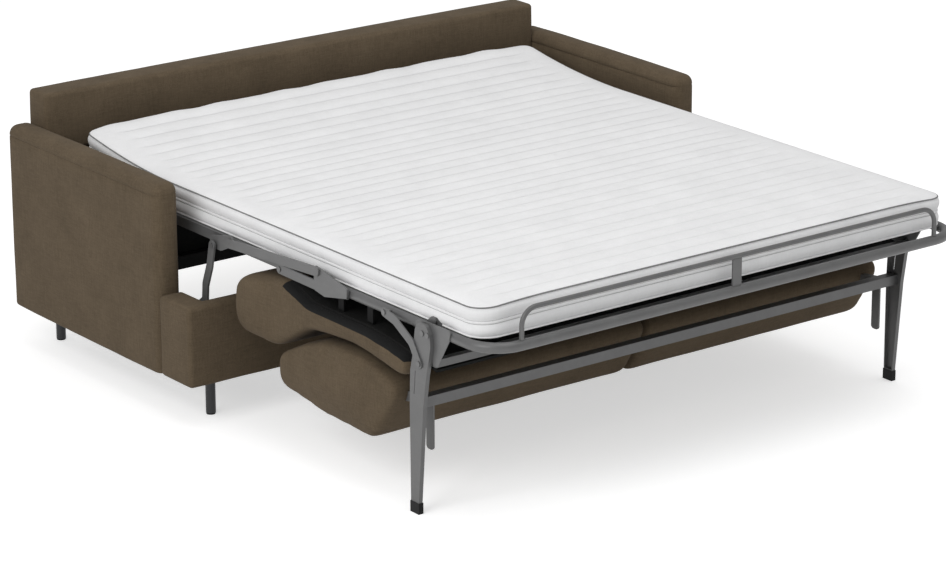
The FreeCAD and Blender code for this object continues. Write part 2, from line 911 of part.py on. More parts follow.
def lug_outline(base_near, base_far):
    """A base on the tube's top that rises to a round eye at the end section's hinge."""
    joint = size("end_joint_depth")
    level = size("end_joint_height")
    tube_top = size("bed_level") + size("bed_tube") / 2
    eye = size("end_eye")
    round_share = eye * END_ROUND_SHARE
    if base_near < joint - eye:
        return [
            corner(base_near, tube_top),
            corner(base_near, tube_top + size("slat_gap") * 3),
            corner(joint - eye, level + eye, round_share),
            corner(joint + eye, level + eye, round_share),
            corner(joint + eye, level - eye, round_share),
            corner(base_far, level - eye),
            corner(base_far, tube_top),
        ]
    return [
        corner(base_far, tube_top),
        corner(base_far, tube_top + size("slat_gap") * 3),
        corner(joint + eye, level + eye, round_share),
        corner(joint - eye, level + eye, round_share),
        corner(joint - eye, level - eye, round_share),
        corner(base_near, level - eye),
        corner(base_near, tube_top),
    ]


# Bed legs with their caps, stays and brackets.

LEG_FOOT_SHARES = ((1.65, 0.576), (2.03, 0.739), (2.35, 0.825), (2.59, 0.9), (2.47, 0.96), (2.03, 1.0))
LEG_REAR_SHARES = ((0.91, 1.0), (0.65, 0.96), (0.35, 0.825), (0.03, 0.739), (-0.06, 0.576))


def leg_corners():
    """Side outline of a bed leg, clockwise: slim and straight below, swept forward above."""
    rear = size("leg_rear_depth")
    wide = size("leg_wide")
    low = size("leg_cap_height")
    bend = size("leg_bend")
    corners = [corner(rear + wide, low)]
    for out, up in LEG_FOOT_SHARES + LEG_REAR_SHARES:
        corners.append(corner(rear + wide * out, size("leg_top") * up, bend))
    corners.append(corner(rear, low))
    return corners


def bed_leg(label, side):
    """Pressed channel: its hollow side faces the other leg, with one narrow slot."""
    body = new_body(label)
    thick = size("leg_thick")
    wall = size("leg_wall")
    plane = size("leg_plane")
    pad_on(body, "YZ_Plane", inner_x(side, plane, thick), rounded(leg_corners()), bound("leg_thick"))
    doc.recompute()
    hollow = rounded(inset(leg_corners(), wall))
    start = inner_x(side, plane, thick - wall)
    pocket_on(body, "YZ_Plane", start, hollow, "sizes.leg_thick - sizes.leg_wall", "hollow")
    middle = size("leg_rear_depth") + size("leg_wide") / 2
    low = size("leg_slot_low")
    lean = size("leg_slot_wide") * 2
    slot = strip([spot(middle, low), spot(middle + lean, low + size("leg_slot_long"))], size("leg_slot_wide"))
    pocket_on(body, "YZ_Plane", inner_x(side, plane, thick), rounded(slot), bound("leg_thick"), "slot")
    return keep(body)


def leg_cap(name, side):
    grow = size("leg_cap_grow")
    inner = size("leg_plane") - grow
    outer = size("leg_plane") + size("leg_thick") + grow
    low, high = sorted((side * inner, side * outer))
    rear = size("leg_rear_depth") - grow
    front = size("leg_rear_depth") + size("leg_wide") + grow
    return box_at("leg_cap_" + name, (low, depth(front), 0), (high, depth(rear), size("leg_cap_height")))


def leg_bracket(name, side):
    """Plate between side tube and leg, with a pointed ear down to the seat bar."""
    level = size("bed_level")
    half = size("bed_tube") / 2
    soft = size("rivet_radius")
    joint = size("end_joint_depth")
    ear = size("leg_bracket_ear")
    low = size("seat_bar_height") - size("seat_bar") / 4
    bar = size("seat_bar_depth")
    far = joint + size("leg_bracket_far")
    outline = [
        corner(joint - size("leg_bracket_near"), level - half, soft),
        corner(joint - size("leg_bracket_near"), level + half, soft),
        corner(joint, level + half + soft, soft),
        corner(far, level + half + soft, soft),
        corner(far - soft, level - soft, soft),
        corner(bar + ear, low, soft / 2),
        corner(bar, low, soft / 2),
        corner(joint, level - half, 0.0),
    ]
    return plate_body("leg_bracket_" + name, side, "bracket_plane", "bracket_thick", outline)


STAY_SHARES = ((0.3, 0.1), (0.78, 0.5))


def leg_stay(name, side):
    """Bowed flat bar outside the leg that keeps it square to the side tube."""
    top = pivot("stay_top")
    low = pivot("stay_low")
    route = [top]
    for out, down in STAY_SHARES:
        route.append((top[0] + (low[0] - top[0]) * out, top[1] + (low[1] - top[1]) * down))
    route.append(low)
    wide = size("stay_wide")
    return flat_bar("leg_stay_" + name, side, "stay_plane", "stay_thick", route, wide, route[:1], wide)


def leg_rivets():
    """Stay pins on the side tubes, stay rivets and the two rivets at each leg's head."""
    tube = size("bed_tube_side") + size("bed_tube") / 2
    stay_end = size("stay_plane") + size("stay_thick")
    leg_end = size("leg_plane") + size("leg_thick")
    rivets = []
    for name, side in SIDES:
        top = pivot("stay_top")
        rivets.append(pin("stay_pin_" + name, side, top, tube, stay_end + size("side_gap")))
        rivets.append(rivet_head("stay_head_" + name, side, top, stay_end + size("side_gap")))
        rivets.append(rivet_head("stay_foot_rivet_" + name, side, pivot("stay_low"), stay_end))
        head = size("leg_rear_depth") + size("leg_wide") * 2
        for tag, shift in (("near", -2.0), ("far", 1.0)):
            place = spot(head + shift * size("rivet_radius"), size("leg_top") - size("stay_wide"))
            rivets.append(rivet_head("leg_rivet_%s_%s" % (tag, name), side, place, leg_end))
    group("leg_rivets", rivets)


def bed_legs():
    bed_leg("bed_leg_left", -1)
    bed_leg("bed_leg_right", 1)
    group("leg_caps", [leg_cap(name, side) for name, side in SIDES])
    group("leg_brackets", [leg_bracket(name, side) for name, side in SIDES])
    group("leg_stays", [leg_stay(name, side) for name, side in SIDES])
    leg_rivets()


# Square bar between the legs, the arms on it that carry the sofa's back, and their stops.

def cross_bar():
    half = size("cross_bar") / 2
    near = size("cross_bar_depth") - half
    low = size("cross_bar_height") - half
    reach = size("leg_plane") + size("leg_thick") - size("leg_wall") - size("side_gap")
    top = low + size("cross_bar")
    keep(box_at("cross_bar", (-reach, depth(near + 2 * half), low), (reach, depth(near), top)))
    group("back_arms", [back_arm(name, side, near) for name, side in SIDES])
    stops = []
    wide = size("hanger_wide")
    for name, side in SIDES:
        outline = block(near - half, low - size("hanger_drop"), near - half + wide, low)
        outline[0] = outline[0][:2] + (wide / 3,)
        outline[3] = outline[3][:2] + (wide / 3,)
        stops.append(plate_body("back_stop_" + name, side, "back_stop_side", "link_thick", outline))
    group("back_stops", stops)


ARM_ROUND_SHARE = 0.9


def back_arm(name, side, end):
    """Tapered arm from the cross bar to an eye round the back's pivot tube."""
    eye = pivot("back_joint")
    radius = size("back_arm_eye")
    half = size("back_arm_tall") / 2
    foot = spot(end, size("cross_bar_height") - size("back_arm_drop"))
    ahead = unit(foot, eye)
    across = (-ahead[1], ahead[0])
    tip = (eye[0] + ahead[0] * radius, eye[1] + ahead[1] * radius)
    soft = radius * ARM_ROUND_SHARE
    corners = [
        (foot[0], foot[1] - half, 0.0),
        (tip[0] - across[0] * radius, tip[1] - across[1] * radius, soft),
        (tip[0] + across[0] * radius, tip[1] + across[1] * radius, soft),
        (foot[0], foot[1] + half, 0.0),
    ]
    hole = (eye[0], eye[1], size("back_tube_radius") + size("side_gap"))
    return plate_body("back_arm_" + name, side, "back_arm_side", "back_arm_thick", corners, [hole])


# Sofa seat: two upholstered cushions hung face down under the foot section.

def cushion(label, side, corners):
    """Half of a long upholstered block: its side outline lofted along X, drawn in at both ends."""
    body = new_body(label)
    inner = size("cushion_split") / 2
    outer = size("cushion_side")
    soft = size("cushion_round")
    outline = [corner(*c) for c in corners]
    stations = [(inner + soft * along, soft * drawn) for along, drawn in CUSHION_END_SHARES]
    stations += [(outer - soft * along, soft * drawn) for along, drawn in CUSHION_END_SHARES[::-1]]
    sketches = []
    for i, (x, drawn) in enumerate(stations):
        edges = rounded(drawn_in(outline, drawn))
        sketches.append(sketch_on(body, "YZ_Plane", side * x, edges, "station_%d" % i))
    doc.recompute()
    loft = body.newObject("PartDesign::AdditiveLoft", label + "_loft")
    loft.Profile = sketches[0]
    loft.Sections = sketches[1:]
    loft.Ruled = True
    doc.recompute()
    return body


CUSHION_END_SHARES = ((0.0, 0.5), (0.25, 0.16), (0.8, 0.0))
LEAST_ROUND_SHARE = 0.3


def drawn_in(corners, distance):
    """The side outline drawn in by its end rounding, with as many arcs as before."""
    smaller = inset(corners, distance)
    return [(y, z, max(r, full[2] * LEAST_ROUND_SHARE)) for (y, z, r), full in zip(smaller, corners)]


def seat_back_line():
    """Underside of the seat, now its top: rises to the front roll, falls to the seat bar."""
    return [
        (size("seat_roll_depth"), size("seat_roll_top")),
        (size("seat_flat_near"), size("seat_flat_height")),
        (size("seat_flat_far"), size("seat_flat_height")),
        (size("seat_slope_depth"), size("seat_slope_height")),
        (size("seat_end_depth"), size("seat_end_height")),
    ]


def seat_corners():
    roll = size("seat_roll_round")
    front = size("seat_front_depth")
    low = size("seat_low_height")
    end = size("seat_end_depth")
    thin = size("seat_end_thick")
    crown = size("seat_crown_depth")
    corners = [
        (size("seat_roll_depth"), size("seat_roll_top"), roll / 2),
        (front + SEAT_NOSE_SHARE * roll, size("seat_nose_height"), roll),
        (front, low, roll),
        (size("seat_roll_depth") - roll / 2, low - SEAT_NOSE_SHARE * roll, roll),
        (size("seat_flat_near"), low + (size("seat_crown_height") - low) * SEAT_RISE_SHARE, 2 * roll),
        (crown, size("seat_crown_height"), 8 * roll),
        (end, size("seat_end_height") - thin, roll / 2),
    ]
    line = [point + (roll if point[0] == size("seat_flat_near") else 0.0,) for point in seat_back_line()]
    corners.append(line[-1][:2] + (roll / 2,))
    corners += line[-2:0:-1]
    return corners


SEAT_NOSE_SHARE = 0.15
SEAT_RISE_SHARE = 0.82


def seat():
    for name, side in SIDES:
        keep(cushion("seat_cushion_" + name, side, seat_corners()))
    seat_board()
    half = size("seat_bar") / 2
    y, z = pivot("seat_bar")
    reach = size("bed_tube_side") + size("bed_tube") / 2
    keep(box_at("seat_bar", (-reach, y - half, z - half), (reach, y + half, z + half)))
    hangers = []
    thick = size("link_thick")
    low = size("seat_flat_height") + size("soft_gap") + size("board_thick")
    high = size("bed_level") - size("bed_tube") / 2
    for near in (size("seat_hanger_near"), size("seat_hanger_far")):
        for name, side in SIDES:
            x = side * size("bed_tube_side")
            corner_low = (x - thick / 2, depth(near + size("seat_hanger_long")), low)
            corner_high = (x + thick / 2, depth(near), high)
            hangers.append(box_at("seat_hanger_%s_%d" % (name, near), corner_low, corner_high))
    group("seat_hangers", hangers)


def seat_board():
    """Bent board behind both seat cushions, from the front roll to under the seat bar."""
    line = [spot(*point) for point in seat_back_line()]
    first = unit(line[0], line[1])
    start = (depth(size("board_front_depth")) - line[0][0]) / first[0]
    line[0] = (line[0][0] + first[0] * start, line[0][1] + first[1] * start)
    last = unit(line[-2], line[-1])
    reach = (depth(size("seat_bar_depth") + size("seat_bar") / 2) - line[-1][0]) / last[0]
    line[-1] = (line[-1][0] + last[0] * reach, line[-1][1] + last[1] * reach)
    gap = size("soft_gap")
    above = gap + size("board_thick")
    lower = [point + (0.0,) for point in shifted(line, -gap)]
    upper = [point + (0.0,) for point in shifted(line, -above)]
    lower[1] = lower[1][:2] + (size("seat_roll_round") - gap,)
    upper[1] = upper[1][:2] + (size("seat_roll_round") - above,)
    body = new_body("seat_board")
    side = size("board_side")
    pad_on(body, "YZ_Plane", -side, rounded(lower + upper[::-1]), "2 * sizes.board_side")
    keep(body)


# Sofa back: two upholstered cushions on one pivot tube, hanging below the seat.

BACK_ROUND_SHARES = (1.0, 0.5, 1.0, 2.0, 4.0, 5.0, 6.0, 2.0, 1.0, 0.6, 0.6, 0.6, 1.5, 1.0, 1.0, 2.0, 1.0)
BACK_SHARES = (
    (0.0, 0.0), (-0.01, 0.235), (0.019, 0.352), (0.196, 0.573), (0.341, 0.704), (0.514, 0.78), (0.684, 0.78),
    (0.834, 0.723), (0.928, 0.662), (0.981, 0.587), (0.996, 0.493), (0.985, 0.413), (0.844, -0.141),
    (0.797, -0.225), (0.722, -0.235), (0.385, -0.221), (0.038, -0.094),
)


def back_corners():
    near = size("back_top_depth")
    long = size("back_long")
    low = size("back_low_height")
    tall = size("back_tall")
    soft = size("cushion_round")
    corners = []
    for (out, up), bend in zip(BACK_SHARES, BACK_ROUND_SHARES):
        corners.append((near + long * out, low + tall * up, soft * bend))
    return corners


def back():
    y, z = pivot("back_joint")
    reach = size("back_tube_reach")
    keep(lying_cylinder("back_tube", y, z, -reach, reach, bound("back_tube_radius")))
    for name, side in SIDES:
        body = cushion("back_cushion_" + name, side, back_corners())
        doc.recompute()
        bore_start = size("cushion_split") / 2
        bore_end = reach + size("back_slot_room")
        low, high = sorted((side * (bore_start - size("overrun")), side * bore_end))
        ring = [Part.Circle(Vector(y, z, 0), Vector(0, 0, 1), size("back_tube_radius") + size("side_gap"))]
        length = "%s - %s / 2 + %s + %s" % (
            bound("back_tube_reach"), bound("cushion_split"), bound("back_slot_room"), bound("overrun")
        )
        pocket_on(body, "YZ_Plane", low, ring, length, "bore")
        arm_slot(body, side, (y, z))
        keep(body)


def arm_slot(body, side, eye):
    """Room inside the cushion for the back arm over its quarter turn."""
    near = size("cross_bar_depth") - size("cross_bar") / 2
    foot = spot(near, size("cross_bar_height") - size("back_arm_drop"))
    along = unit(eye, foot)
    below = (-along[1], along[0])
    room = size("back_arm_eye") + size("back_slot_room")
    long = size("back_long")
    start = (eye[0] - (along[0] + below[0]) * room, eye[1] - (along[1] + below[1]) * room)
    far = (start[0] + along[0] * long, start[1] + along[1] * long)
    low = (start[0] + below[0] * long, start[1] + below[1] * long)
    outer = (far[0] + below[0] * long, far[1] + below[1] * long)
    corners = [start + (room * END_ROUND_SHARE,), far + (0.0,), outer + (0.0,), low + (0.0,)]
    side_room = size("back_slot_room")
    plane = size("back_arm_side") - side_room
    width = size("back_arm_thick") + 2 * side_room
    length = "%s + 2 * %s" % (bound("back_arm_thick"), bound("back_slot_room"))
    pocket_on(body, "YZ_Plane", inner_x(side, plane, width), rounded(corners), length, "arm_slot")


# End section: a bent tube beyond the legs, with the loop that holds the mattress.

def end_section():
    level = size("bed_level")
    radius = size("bed_tube") / 2
    side_x = size("bed_tube_side")
    start = depth(size("end_joint_depth") + size("side_gap"))
    end = depth(size("end_tube_depth"))
    bend = size("bed_corner")
    route = open_route([(-side_x, start), (-side_x, end), (side_x, end), (side_x, start)], bend)
    bent_tube("end_tube", "XY_Plane", level, route, "XZ_Plane", -start, (-side_x, level), radius)
    lugs = []
    for name, side in SIDES:
        outline = lug_outline(size("end_joint_depth") + size("side_gap"), size("end_joint_depth") + size("end_lug_long"))
        hole = pin_hole(pivot("end_joint"))
        lugs.append(plate_body("end_hinge_lug_" + name, side, "end_lug_side", "link_thick", outline, [hole]))
    group("end_hinge_lugs", lugs)
    first = size("end_joint_depth") + size("slat_wide")
    slats("end_slat", first, first + size("slat_wide"), 1, slat_reach(side_x))
    bumper_loop(end)


def open_route(corners, bend):
    """Open centre line through the corners, each bent to the same radius."""
    closed = rounded([corners[0] + (0.0,)] + [c + (bend,) for c in corners[1:-1]] + [corners[-1] + (0.0,)])
    return closed[:-1]


def bent_tube(label, role, offset, route, ring_role, ring_offset, ring_place, radius):
    body = new_body(label)
    spine = sketch_on(body, role, offset, route, "route")
    circle = [Part.Circle(Vector(ring_place[0], ring_place[1], 0), Vector(0, 0, 1), radius)]
    profile = sketch_on(body, ring_role, ring_offset, circle, "ring")
    doc.recompute()
    pipe = body.newObject("PartDesign::AdditivePipe", label + "_pipe")
    pipe.Profile = profile
    pipe.Spine = (spine, ["Edge%d" % (i + 1) for i in range(len(route))])
    return keep(body)


def bumper_loop(y):
    half = size("loop_half_width")
    radius = size("loop_tube") / 2
    low = size("bed_level") + size("bed_tube") / 2
    high = size("loop_height")
    route = open_route([(-half, low), (-half, high), (half, high), (half, low)], size("loop_corner"))
    bent_tube("bumper_loop", "XZ_Plane", -y, route, "XY_Plane", low, (-half, y), radius)
    wide = size("loop_strap_wide") / 2
    thick = size("loop_strap_thick") / 2
    keep(box_at("bumper_strap", (-wide, y - thick, low), (wide, y + thick, high - radius)))


# Rear beam with a bracket for each of the two short links that carry the head section.

def rear_bracket(name, side):
    """Leaning plate on the rear beam, just outside the rear link, that holds its lower pin."""
    eye = size("rear_link_depth")
    half = size("link_wide") / 2
    top = size("rear_link_height") + half
    near = size("panel_wall") + size("side_gap")
    foot = size("floor_gap") + size("plate_thick") + size("beam_tall")
    soft = half * END_ROUND_SHARE
    outline = rounded([
        corner(near, foot),
        corner(eye - half, top, soft),
        corner(eye + half, top, soft),
        corner(near + size("beam_deep"), foot),
    ])
    thick = size("link_thick")
    plane = size("rear_link_plane") + thick + size("side_gap")
    body = new_body("rear_bracket_" + name)
    pad_on(body, "YZ_Plane", inner_x(side, plane, thick), outline, bound("link_thick"))
    return body


def rear_beam():
    tube = cross_beam("rear_beam_tube", size("panel_wall") + size("side_gap"))
    group("rear_beam", [tube] + [rear_bracket(name, side) for name, side in SIDES])


# Head section, a loop of tube with its slats.

def head_section():
    pivot_spot = pivot("head_joint")
    link_foot = pivot("rear_link")
    wide = size("link_wide")
    links = []
    root_pins = []
    head_pins = []
    plane = size("rear_link_plane")
    outer = plane + size("link_thick")
    tube = size("head_tube_side") + size("bed_tube") / 2
    for name, side in SIDES:
        ends = [link_foot, pivot_spot]
        links.append(flat_bar("rear_link_" + name, side, "rear_link_plane", "link_thick", ends, wide, ends))
        root_pins.append(pin("rear_pin_" + name, side, link_foot, plane, outer + size("side_gap")))
        head_pins.append(pin("head_pin_" + name, side, pivot_spot, tube, outer + size("side_gap")))
    group("rear_links", links)
    group("rear_pins", root_pins)
    group("head_pins", head_pins)
    head_frame()
    near = size("head_tube_depth") + size("slat_wide")
    far = size("section_seam_depth") - size("bed_tube") - size("head_corner")
    reach = size("head_tube_side") - size("bed_tube") / 2 - size("side_gap")
    slats("head_slats", near, far, HEAD_SLATS, reach)


HEAD_SLATS = 3


def head_frame():
    """Closed loop of square tube with rounded corners."""
    half = size("bed_tube") / 2
    side_x = size("head_tube_side")
    rear = size("head_tube_depth")
    front = size("section_seam_depth") - half
    bend = size("head_corner")
    edges = []
    for grow in (half, -half):
        near = depth(rear - grow)
        far = depth(front + grow)
        wide = side_x + grow
        loop = [(wide, near), (wide, far), (-wide, far), (-wide, near)]
        edges += rounded([c + (bend + grow,) for c in loop])
    body = new_body("head_frame")
    pad_on(body, "XY_Plane", size("bed_level") - half, edges, bound("bed_tube"))
    return keep(body)


# Mattress in five sections, quilted across, raised where its head meets the sofa's back.

def mattress_rise(distance):
    """Height that the head of the mattress curves up above its flat part."""
    seam = size("section_seam_depth")
    if distance >= seam:
        return 0.0
    share = (seam - distance) / (seam - size("mattress_head_depth"))
    return size("mattress_head_rise") * share ** 2


def mattress_section(label, near, far):
    """Side outline with one shallow arc for each quilted channel, drawn out along X."""
    gap = size("soft_gap")
    near += gap / 2
    far -= gap / 2
    bottom = size("bed_level") + size("bed_tube") / 2 + gap
    top = size("mattress_top") + size("quilt_dip")
    count = max(round((far - near) / size("quilt_pitch")), 1)
    step = (far - near) / count
    swell = size("quilt_swell") - size("quilt_dip")

    def place(distance, height):
        return Vector(0, depth(distance), height + mattress_rise(distance))

    edges = []
    for i in range(count):
        start = near + i * step
        middle = place(start + step / 2, top + swell)
        edges.append(Part.Arc(place(start, top), middle, place(start + step, top)).toShape())
    edges.append(Part.makeLine(place(far, top), place(far, bottom)))
    if mattress_rise(near) > size("slat_gap"):
        underside = Part.Arc(place(far, bottom), place((near + far) / 2, bottom), place(near, bottom)).toShape()
    else:
        underside = Part.makeLine(place(far, bottom), place(near, bottom))
    edges.append(underside)
    edges.append(Part.makeLine(place(near, bottom), place(near, top)))
    half = size("mattress_half")
    face = Part.Face(Part.Wire(edges))
    face.translate(Vector(-half, 0, 0))
    solid = face.extrude(Vector(2 * half, 0, 0))
    solid = solid.common(mattress_plan())
    section = doc.addObject("Part::Feature", label)
    section.Label = label
    section.Shape = solid.Solids[0]
    return keep(section)


def mattress_plan():
    """Whole mattress seen from above, with rounded corners, as a tall block."""
    half = size("mattress_half")
    round_corner = size("mattress_corner")
    rear = depth(size("mattress_head_depth"))
    front = depth(size("mattress_foot_depth"))
    corners = [(-half, rear), (half, rear), (half, front), (-half, front)]
    edges = [edge.toShape() for edge in rounded([c + (round_corner,) for c in corners])]
    face = Part.Face(Part.Wire(Part.__sortEdges__(edges)))
    face.translate(Vector(0, 0, size("floor_gap")))
    return face.extrude(Vector(0, 0, size("panel_top") - size("floor_gap")))


def mattress():
    seams = (
        ("mattress_head", "mattress_head_depth", "section_seam_depth"),
        ("mattress_mid", "section_seam_depth", "fold_joint_depth"),
        ("mattress_link", "fold_joint_depth", "foot_joint_depth"),
        ("mattress_foot", "foot_joint_depth", "end_joint_depth"),
        ("mattress_end", "end_joint_depth", "mattress_foot_depth"),
    )
    for label, near, far in seams:
        mattress_section(label, size(near), size(far))


struts()
mid_section()
fold_links()
foot_section()
bed_legs()
cross_bar()
seat()
back()
end_section()
rear_beam()
head_section()
mattress()
doc.recompute()

for obj in doc.Objects:
    bad = [flag for flag in ("Invalid", "Error") if flag in obj.State]
    if bad:
        raise RuntimeError("%s is %s" % (obj.Label, bad[0]))
for node in nodes:
    if node.Shape.isNull() or not node.Shape.isValid() or not node.Shape.Solids:
        raise RuntimeError("%s has no sound shape" % node.Label)

os.makedirs("parts", exist_ok=True)
for node in nodes:
    node.Shape.exportStep("parts/%s.step" % node.Label)
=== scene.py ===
import bmesh
import bpy
import json
import math
import random
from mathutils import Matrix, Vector, noise


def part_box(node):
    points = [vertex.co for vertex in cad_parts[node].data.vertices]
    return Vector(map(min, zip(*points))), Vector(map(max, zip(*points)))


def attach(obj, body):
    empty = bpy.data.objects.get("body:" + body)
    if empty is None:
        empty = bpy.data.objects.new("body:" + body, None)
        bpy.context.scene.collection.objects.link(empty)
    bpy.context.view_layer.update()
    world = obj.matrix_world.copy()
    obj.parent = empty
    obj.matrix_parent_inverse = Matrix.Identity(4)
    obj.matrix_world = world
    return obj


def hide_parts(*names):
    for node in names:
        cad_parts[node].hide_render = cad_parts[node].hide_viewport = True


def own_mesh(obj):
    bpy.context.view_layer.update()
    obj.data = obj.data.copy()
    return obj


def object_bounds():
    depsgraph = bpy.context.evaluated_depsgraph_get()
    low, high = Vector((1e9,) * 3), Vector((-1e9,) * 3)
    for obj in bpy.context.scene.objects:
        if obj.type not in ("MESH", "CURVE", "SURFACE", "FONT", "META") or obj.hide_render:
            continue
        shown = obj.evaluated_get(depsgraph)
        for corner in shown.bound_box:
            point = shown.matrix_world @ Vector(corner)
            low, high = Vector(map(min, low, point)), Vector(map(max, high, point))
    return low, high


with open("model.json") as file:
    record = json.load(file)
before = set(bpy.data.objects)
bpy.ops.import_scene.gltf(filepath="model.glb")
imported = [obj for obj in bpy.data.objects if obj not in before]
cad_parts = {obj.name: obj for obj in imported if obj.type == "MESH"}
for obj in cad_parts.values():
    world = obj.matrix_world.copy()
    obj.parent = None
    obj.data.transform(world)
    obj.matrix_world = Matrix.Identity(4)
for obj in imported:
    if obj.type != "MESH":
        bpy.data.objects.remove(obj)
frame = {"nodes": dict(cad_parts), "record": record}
cad_low, cad_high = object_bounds()
nodes = frame["nodes"]

# Noise starts at a place of its own in each run, unless its seed is set.
NOISE_SEED = 7
noise.seed_set(NOISE_SEED)

# Lengths are in metres. Depths run forward from the sofa's rear face, as on a maker's drawing.
REAR = cad_high.y
FLOOR = 0.0

# Tolerances for picking and joining, and the least angle, in radians, of an edge to be rounded.
ON_PLANE = 1e-5
WELD_SOLID = 0.00002
WELD = 0.0001
CREASE = 1.0


def y_at(depth):
    return REAR - depth


def depth_of(point):
    return REAR - point.y


# Small helpers for modelling by hand.

def only(obj):
    bpy.ops.object.select_all(action="DESELECT")
    obj.select_set(True)
    bpy.context.view_layer.objects.active = obj


def to_edit(obj, mode="VERT"):
    only(obj)
    bpy.ops.object.mode_set(mode="EDIT")
    bpy.ops.mesh.select_mode(type=mode)
    bpy.ops.mesh.select_all(action="DESELECT")


def leave_edit():
    bpy.ops.object.mode_set(mode="OBJECT")


def apply_place(obj):
    only(obj)
    bpy.ops.object.transform_apply(location=True, rotation=True, scale=True)


def block(name, low, high):
    bpy.ops.object.select_all(action="DESELECT")
    bpy.ops.mesh.primitive_cube_add(size=1, location=(low + high) / 2)
    obj = bpy.context.active_object
    obj.name = name
    obj.scale = high - low
    apply_place(obj)
    return obj


def add_object(name, mesh):
    obj = bpy.data.objects.new(name, mesh)
    bpy.context.scene.collection.objects.link(obj)
    return obj


def copy_object(obj, name):
    return add_object(name, obj.data.copy())


def pick(obj, kind, test):
    """Select the edit-mode faces, edges or verts that pass the test."""
    mesh = bmesh.from_edit_mesh(obj.data)
    for item in getattr(mesh, kind):
        item.select_set(bool(test(item)))
    mesh.select_flush_mode()
    bmesh.update_edit_mesh(obj.data)


def round_edges(radius, segments):
    bpy.ops.mesh.bevel(offset=radius, segments=segments, affect="EDGES", clamp_overlap=False)


def pull_out(move):
    """Extrude what is selected by a move."""
    bpy.ops.mesh.extrude_region_move(TRANSFORM_OT_translate={"value": move})


def weld(distance):
    bpy.ops.mesh.select_all(action="SELECT")
    bpy.ops.mesh.remove_doubles(threshold=distance)


def face_outward():
    bpy.ops.mesh.select_all(action="SELECT")
    bpy.ops.mesh.normals_make_consistent(inside=False)


def slice_at(axis, places):
    """Cut the whole mesh across at each place along an axis, keeping both sides."""
    normal = [0.0, 0.0, 0.0]
    normal[axis] = 1.0
    for place in places:
        bpy.ops.mesh.select_all(action="SELECT")
        point = [0.0, 0.0, 0.0]
        point[axis] = place
        bpy.ops.mesh.bisect(plane_co=point, plane_no=normal, use_fill=False)


def steps(low, high, spacing):
    """Places between two ends, about a spacing apart, without the ends."""
    count = max(int(round((high - low) / spacing)), 2)
    return [low + (high - low) * i / count for i in range(1, count)]


def soften(obj, angle):
    only(obj)
    bpy.ops.object.shade_smooth_by_angle(angle=math.radians(angle))


def apply_all(obj):
    only(obj)
    for modifier in list(obj.modifiers):
        bpy.ops.object.modifier_apply(modifier=modifier.name)


def calm(obj):
    """A smoothing modifier that evens out a dense net."""
    modifier = obj.modifiers.new("calm", "SMOOTH")
    modifier.iterations = 6
    modifier.factor = 0.5


def give(obj, material):
    obj.data.materials.clear()
    obj.data.materials.append(material)


def smooth_step(value):
    t = max(0.0, min(1.0, value))
    return t * t * (3 - 2 * t)


def dress(obj, body, slot, *stands_for, fill=None):
    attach(obj, body)
    if stands_for:
        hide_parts(*stands_for)


# Node helpers, and the two node groups that the materials share.

def new_group(name, inputs):
    """A group with float inputs that puts out a tone, a roughness and a height."""
    group = bpy.data.node_groups.new(name, "ShaderNodeTree")
    for label, value in inputs.items():
        socket = group.interface.new_socket(
            label, in_out="INPUT", socket_type="NodeSocketFloat")
        socket.default_value = value
    for label in ("Tone", "Rough", "Height"):
        group.interface.new_socket(label, in_out="OUTPUT", socket_type="NodeSocketFloat")
    return group, group.nodes.new("NodeGroupInput"), group.nodes.new("NodeGroupOutput")


def node(tree, kind, **values):
    """A new node with its properties or its inputs set by name."""
    made = tree.nodes.new(kind)
    for key, value in values.items():
        if key in made.bl_rna.properties:
            setattr(made, key, value)
        else:
            made.inputs[key.replace("_", " ")].default_value = value
    return made


def math_node(tree, operation, first, second):
    made = node(tree, "ShaderNodeMath", operation=operation)
    for socket, value in zip(made.inputs, (first, second)):
        if isinstance(value, (int, float)):
            socket.default_value = value
        else:
            tree.links.new(value, socket)
    return made.outputs[0]


def scaled(tree, value, gain, base):
    """Value times gain plus base."""
    return math_node(tree, "ADD", math_node(tree, "MULTIPLY", value, gain), base)


def mean(tree, first, second):
    return math_node(tree, "MULTIPLY", math_node(tree, "ADD", first, second), 0.5)


def object_place(tree, stretch=(1, 1, 1)):
    place = tree.nodes.new("ShaderNodeTexCoord")
    mapping = node(tree, "ShaderNodeMapping", Scale=stretch)
    tree.links.new(place.outputs["Object"], mapping.inputs["Vector"])
    return mapping.outputs["Vector"]


def speckle(tree, vector, scale, detail):
    """Noise over the surface; its scale is a number or another node's output."""
    made = node(tree, "ShaderNodeTexNoise", Detail=detail)
    if isinstance(scale, float):
        made.inputs["Scale"].default_value = scale
    else:
        tree.links.new(scale, made.inputs["Scale"])
    tree.links.new(vector, made.inputs["Vector"])
    return made.outputs["Fac"]


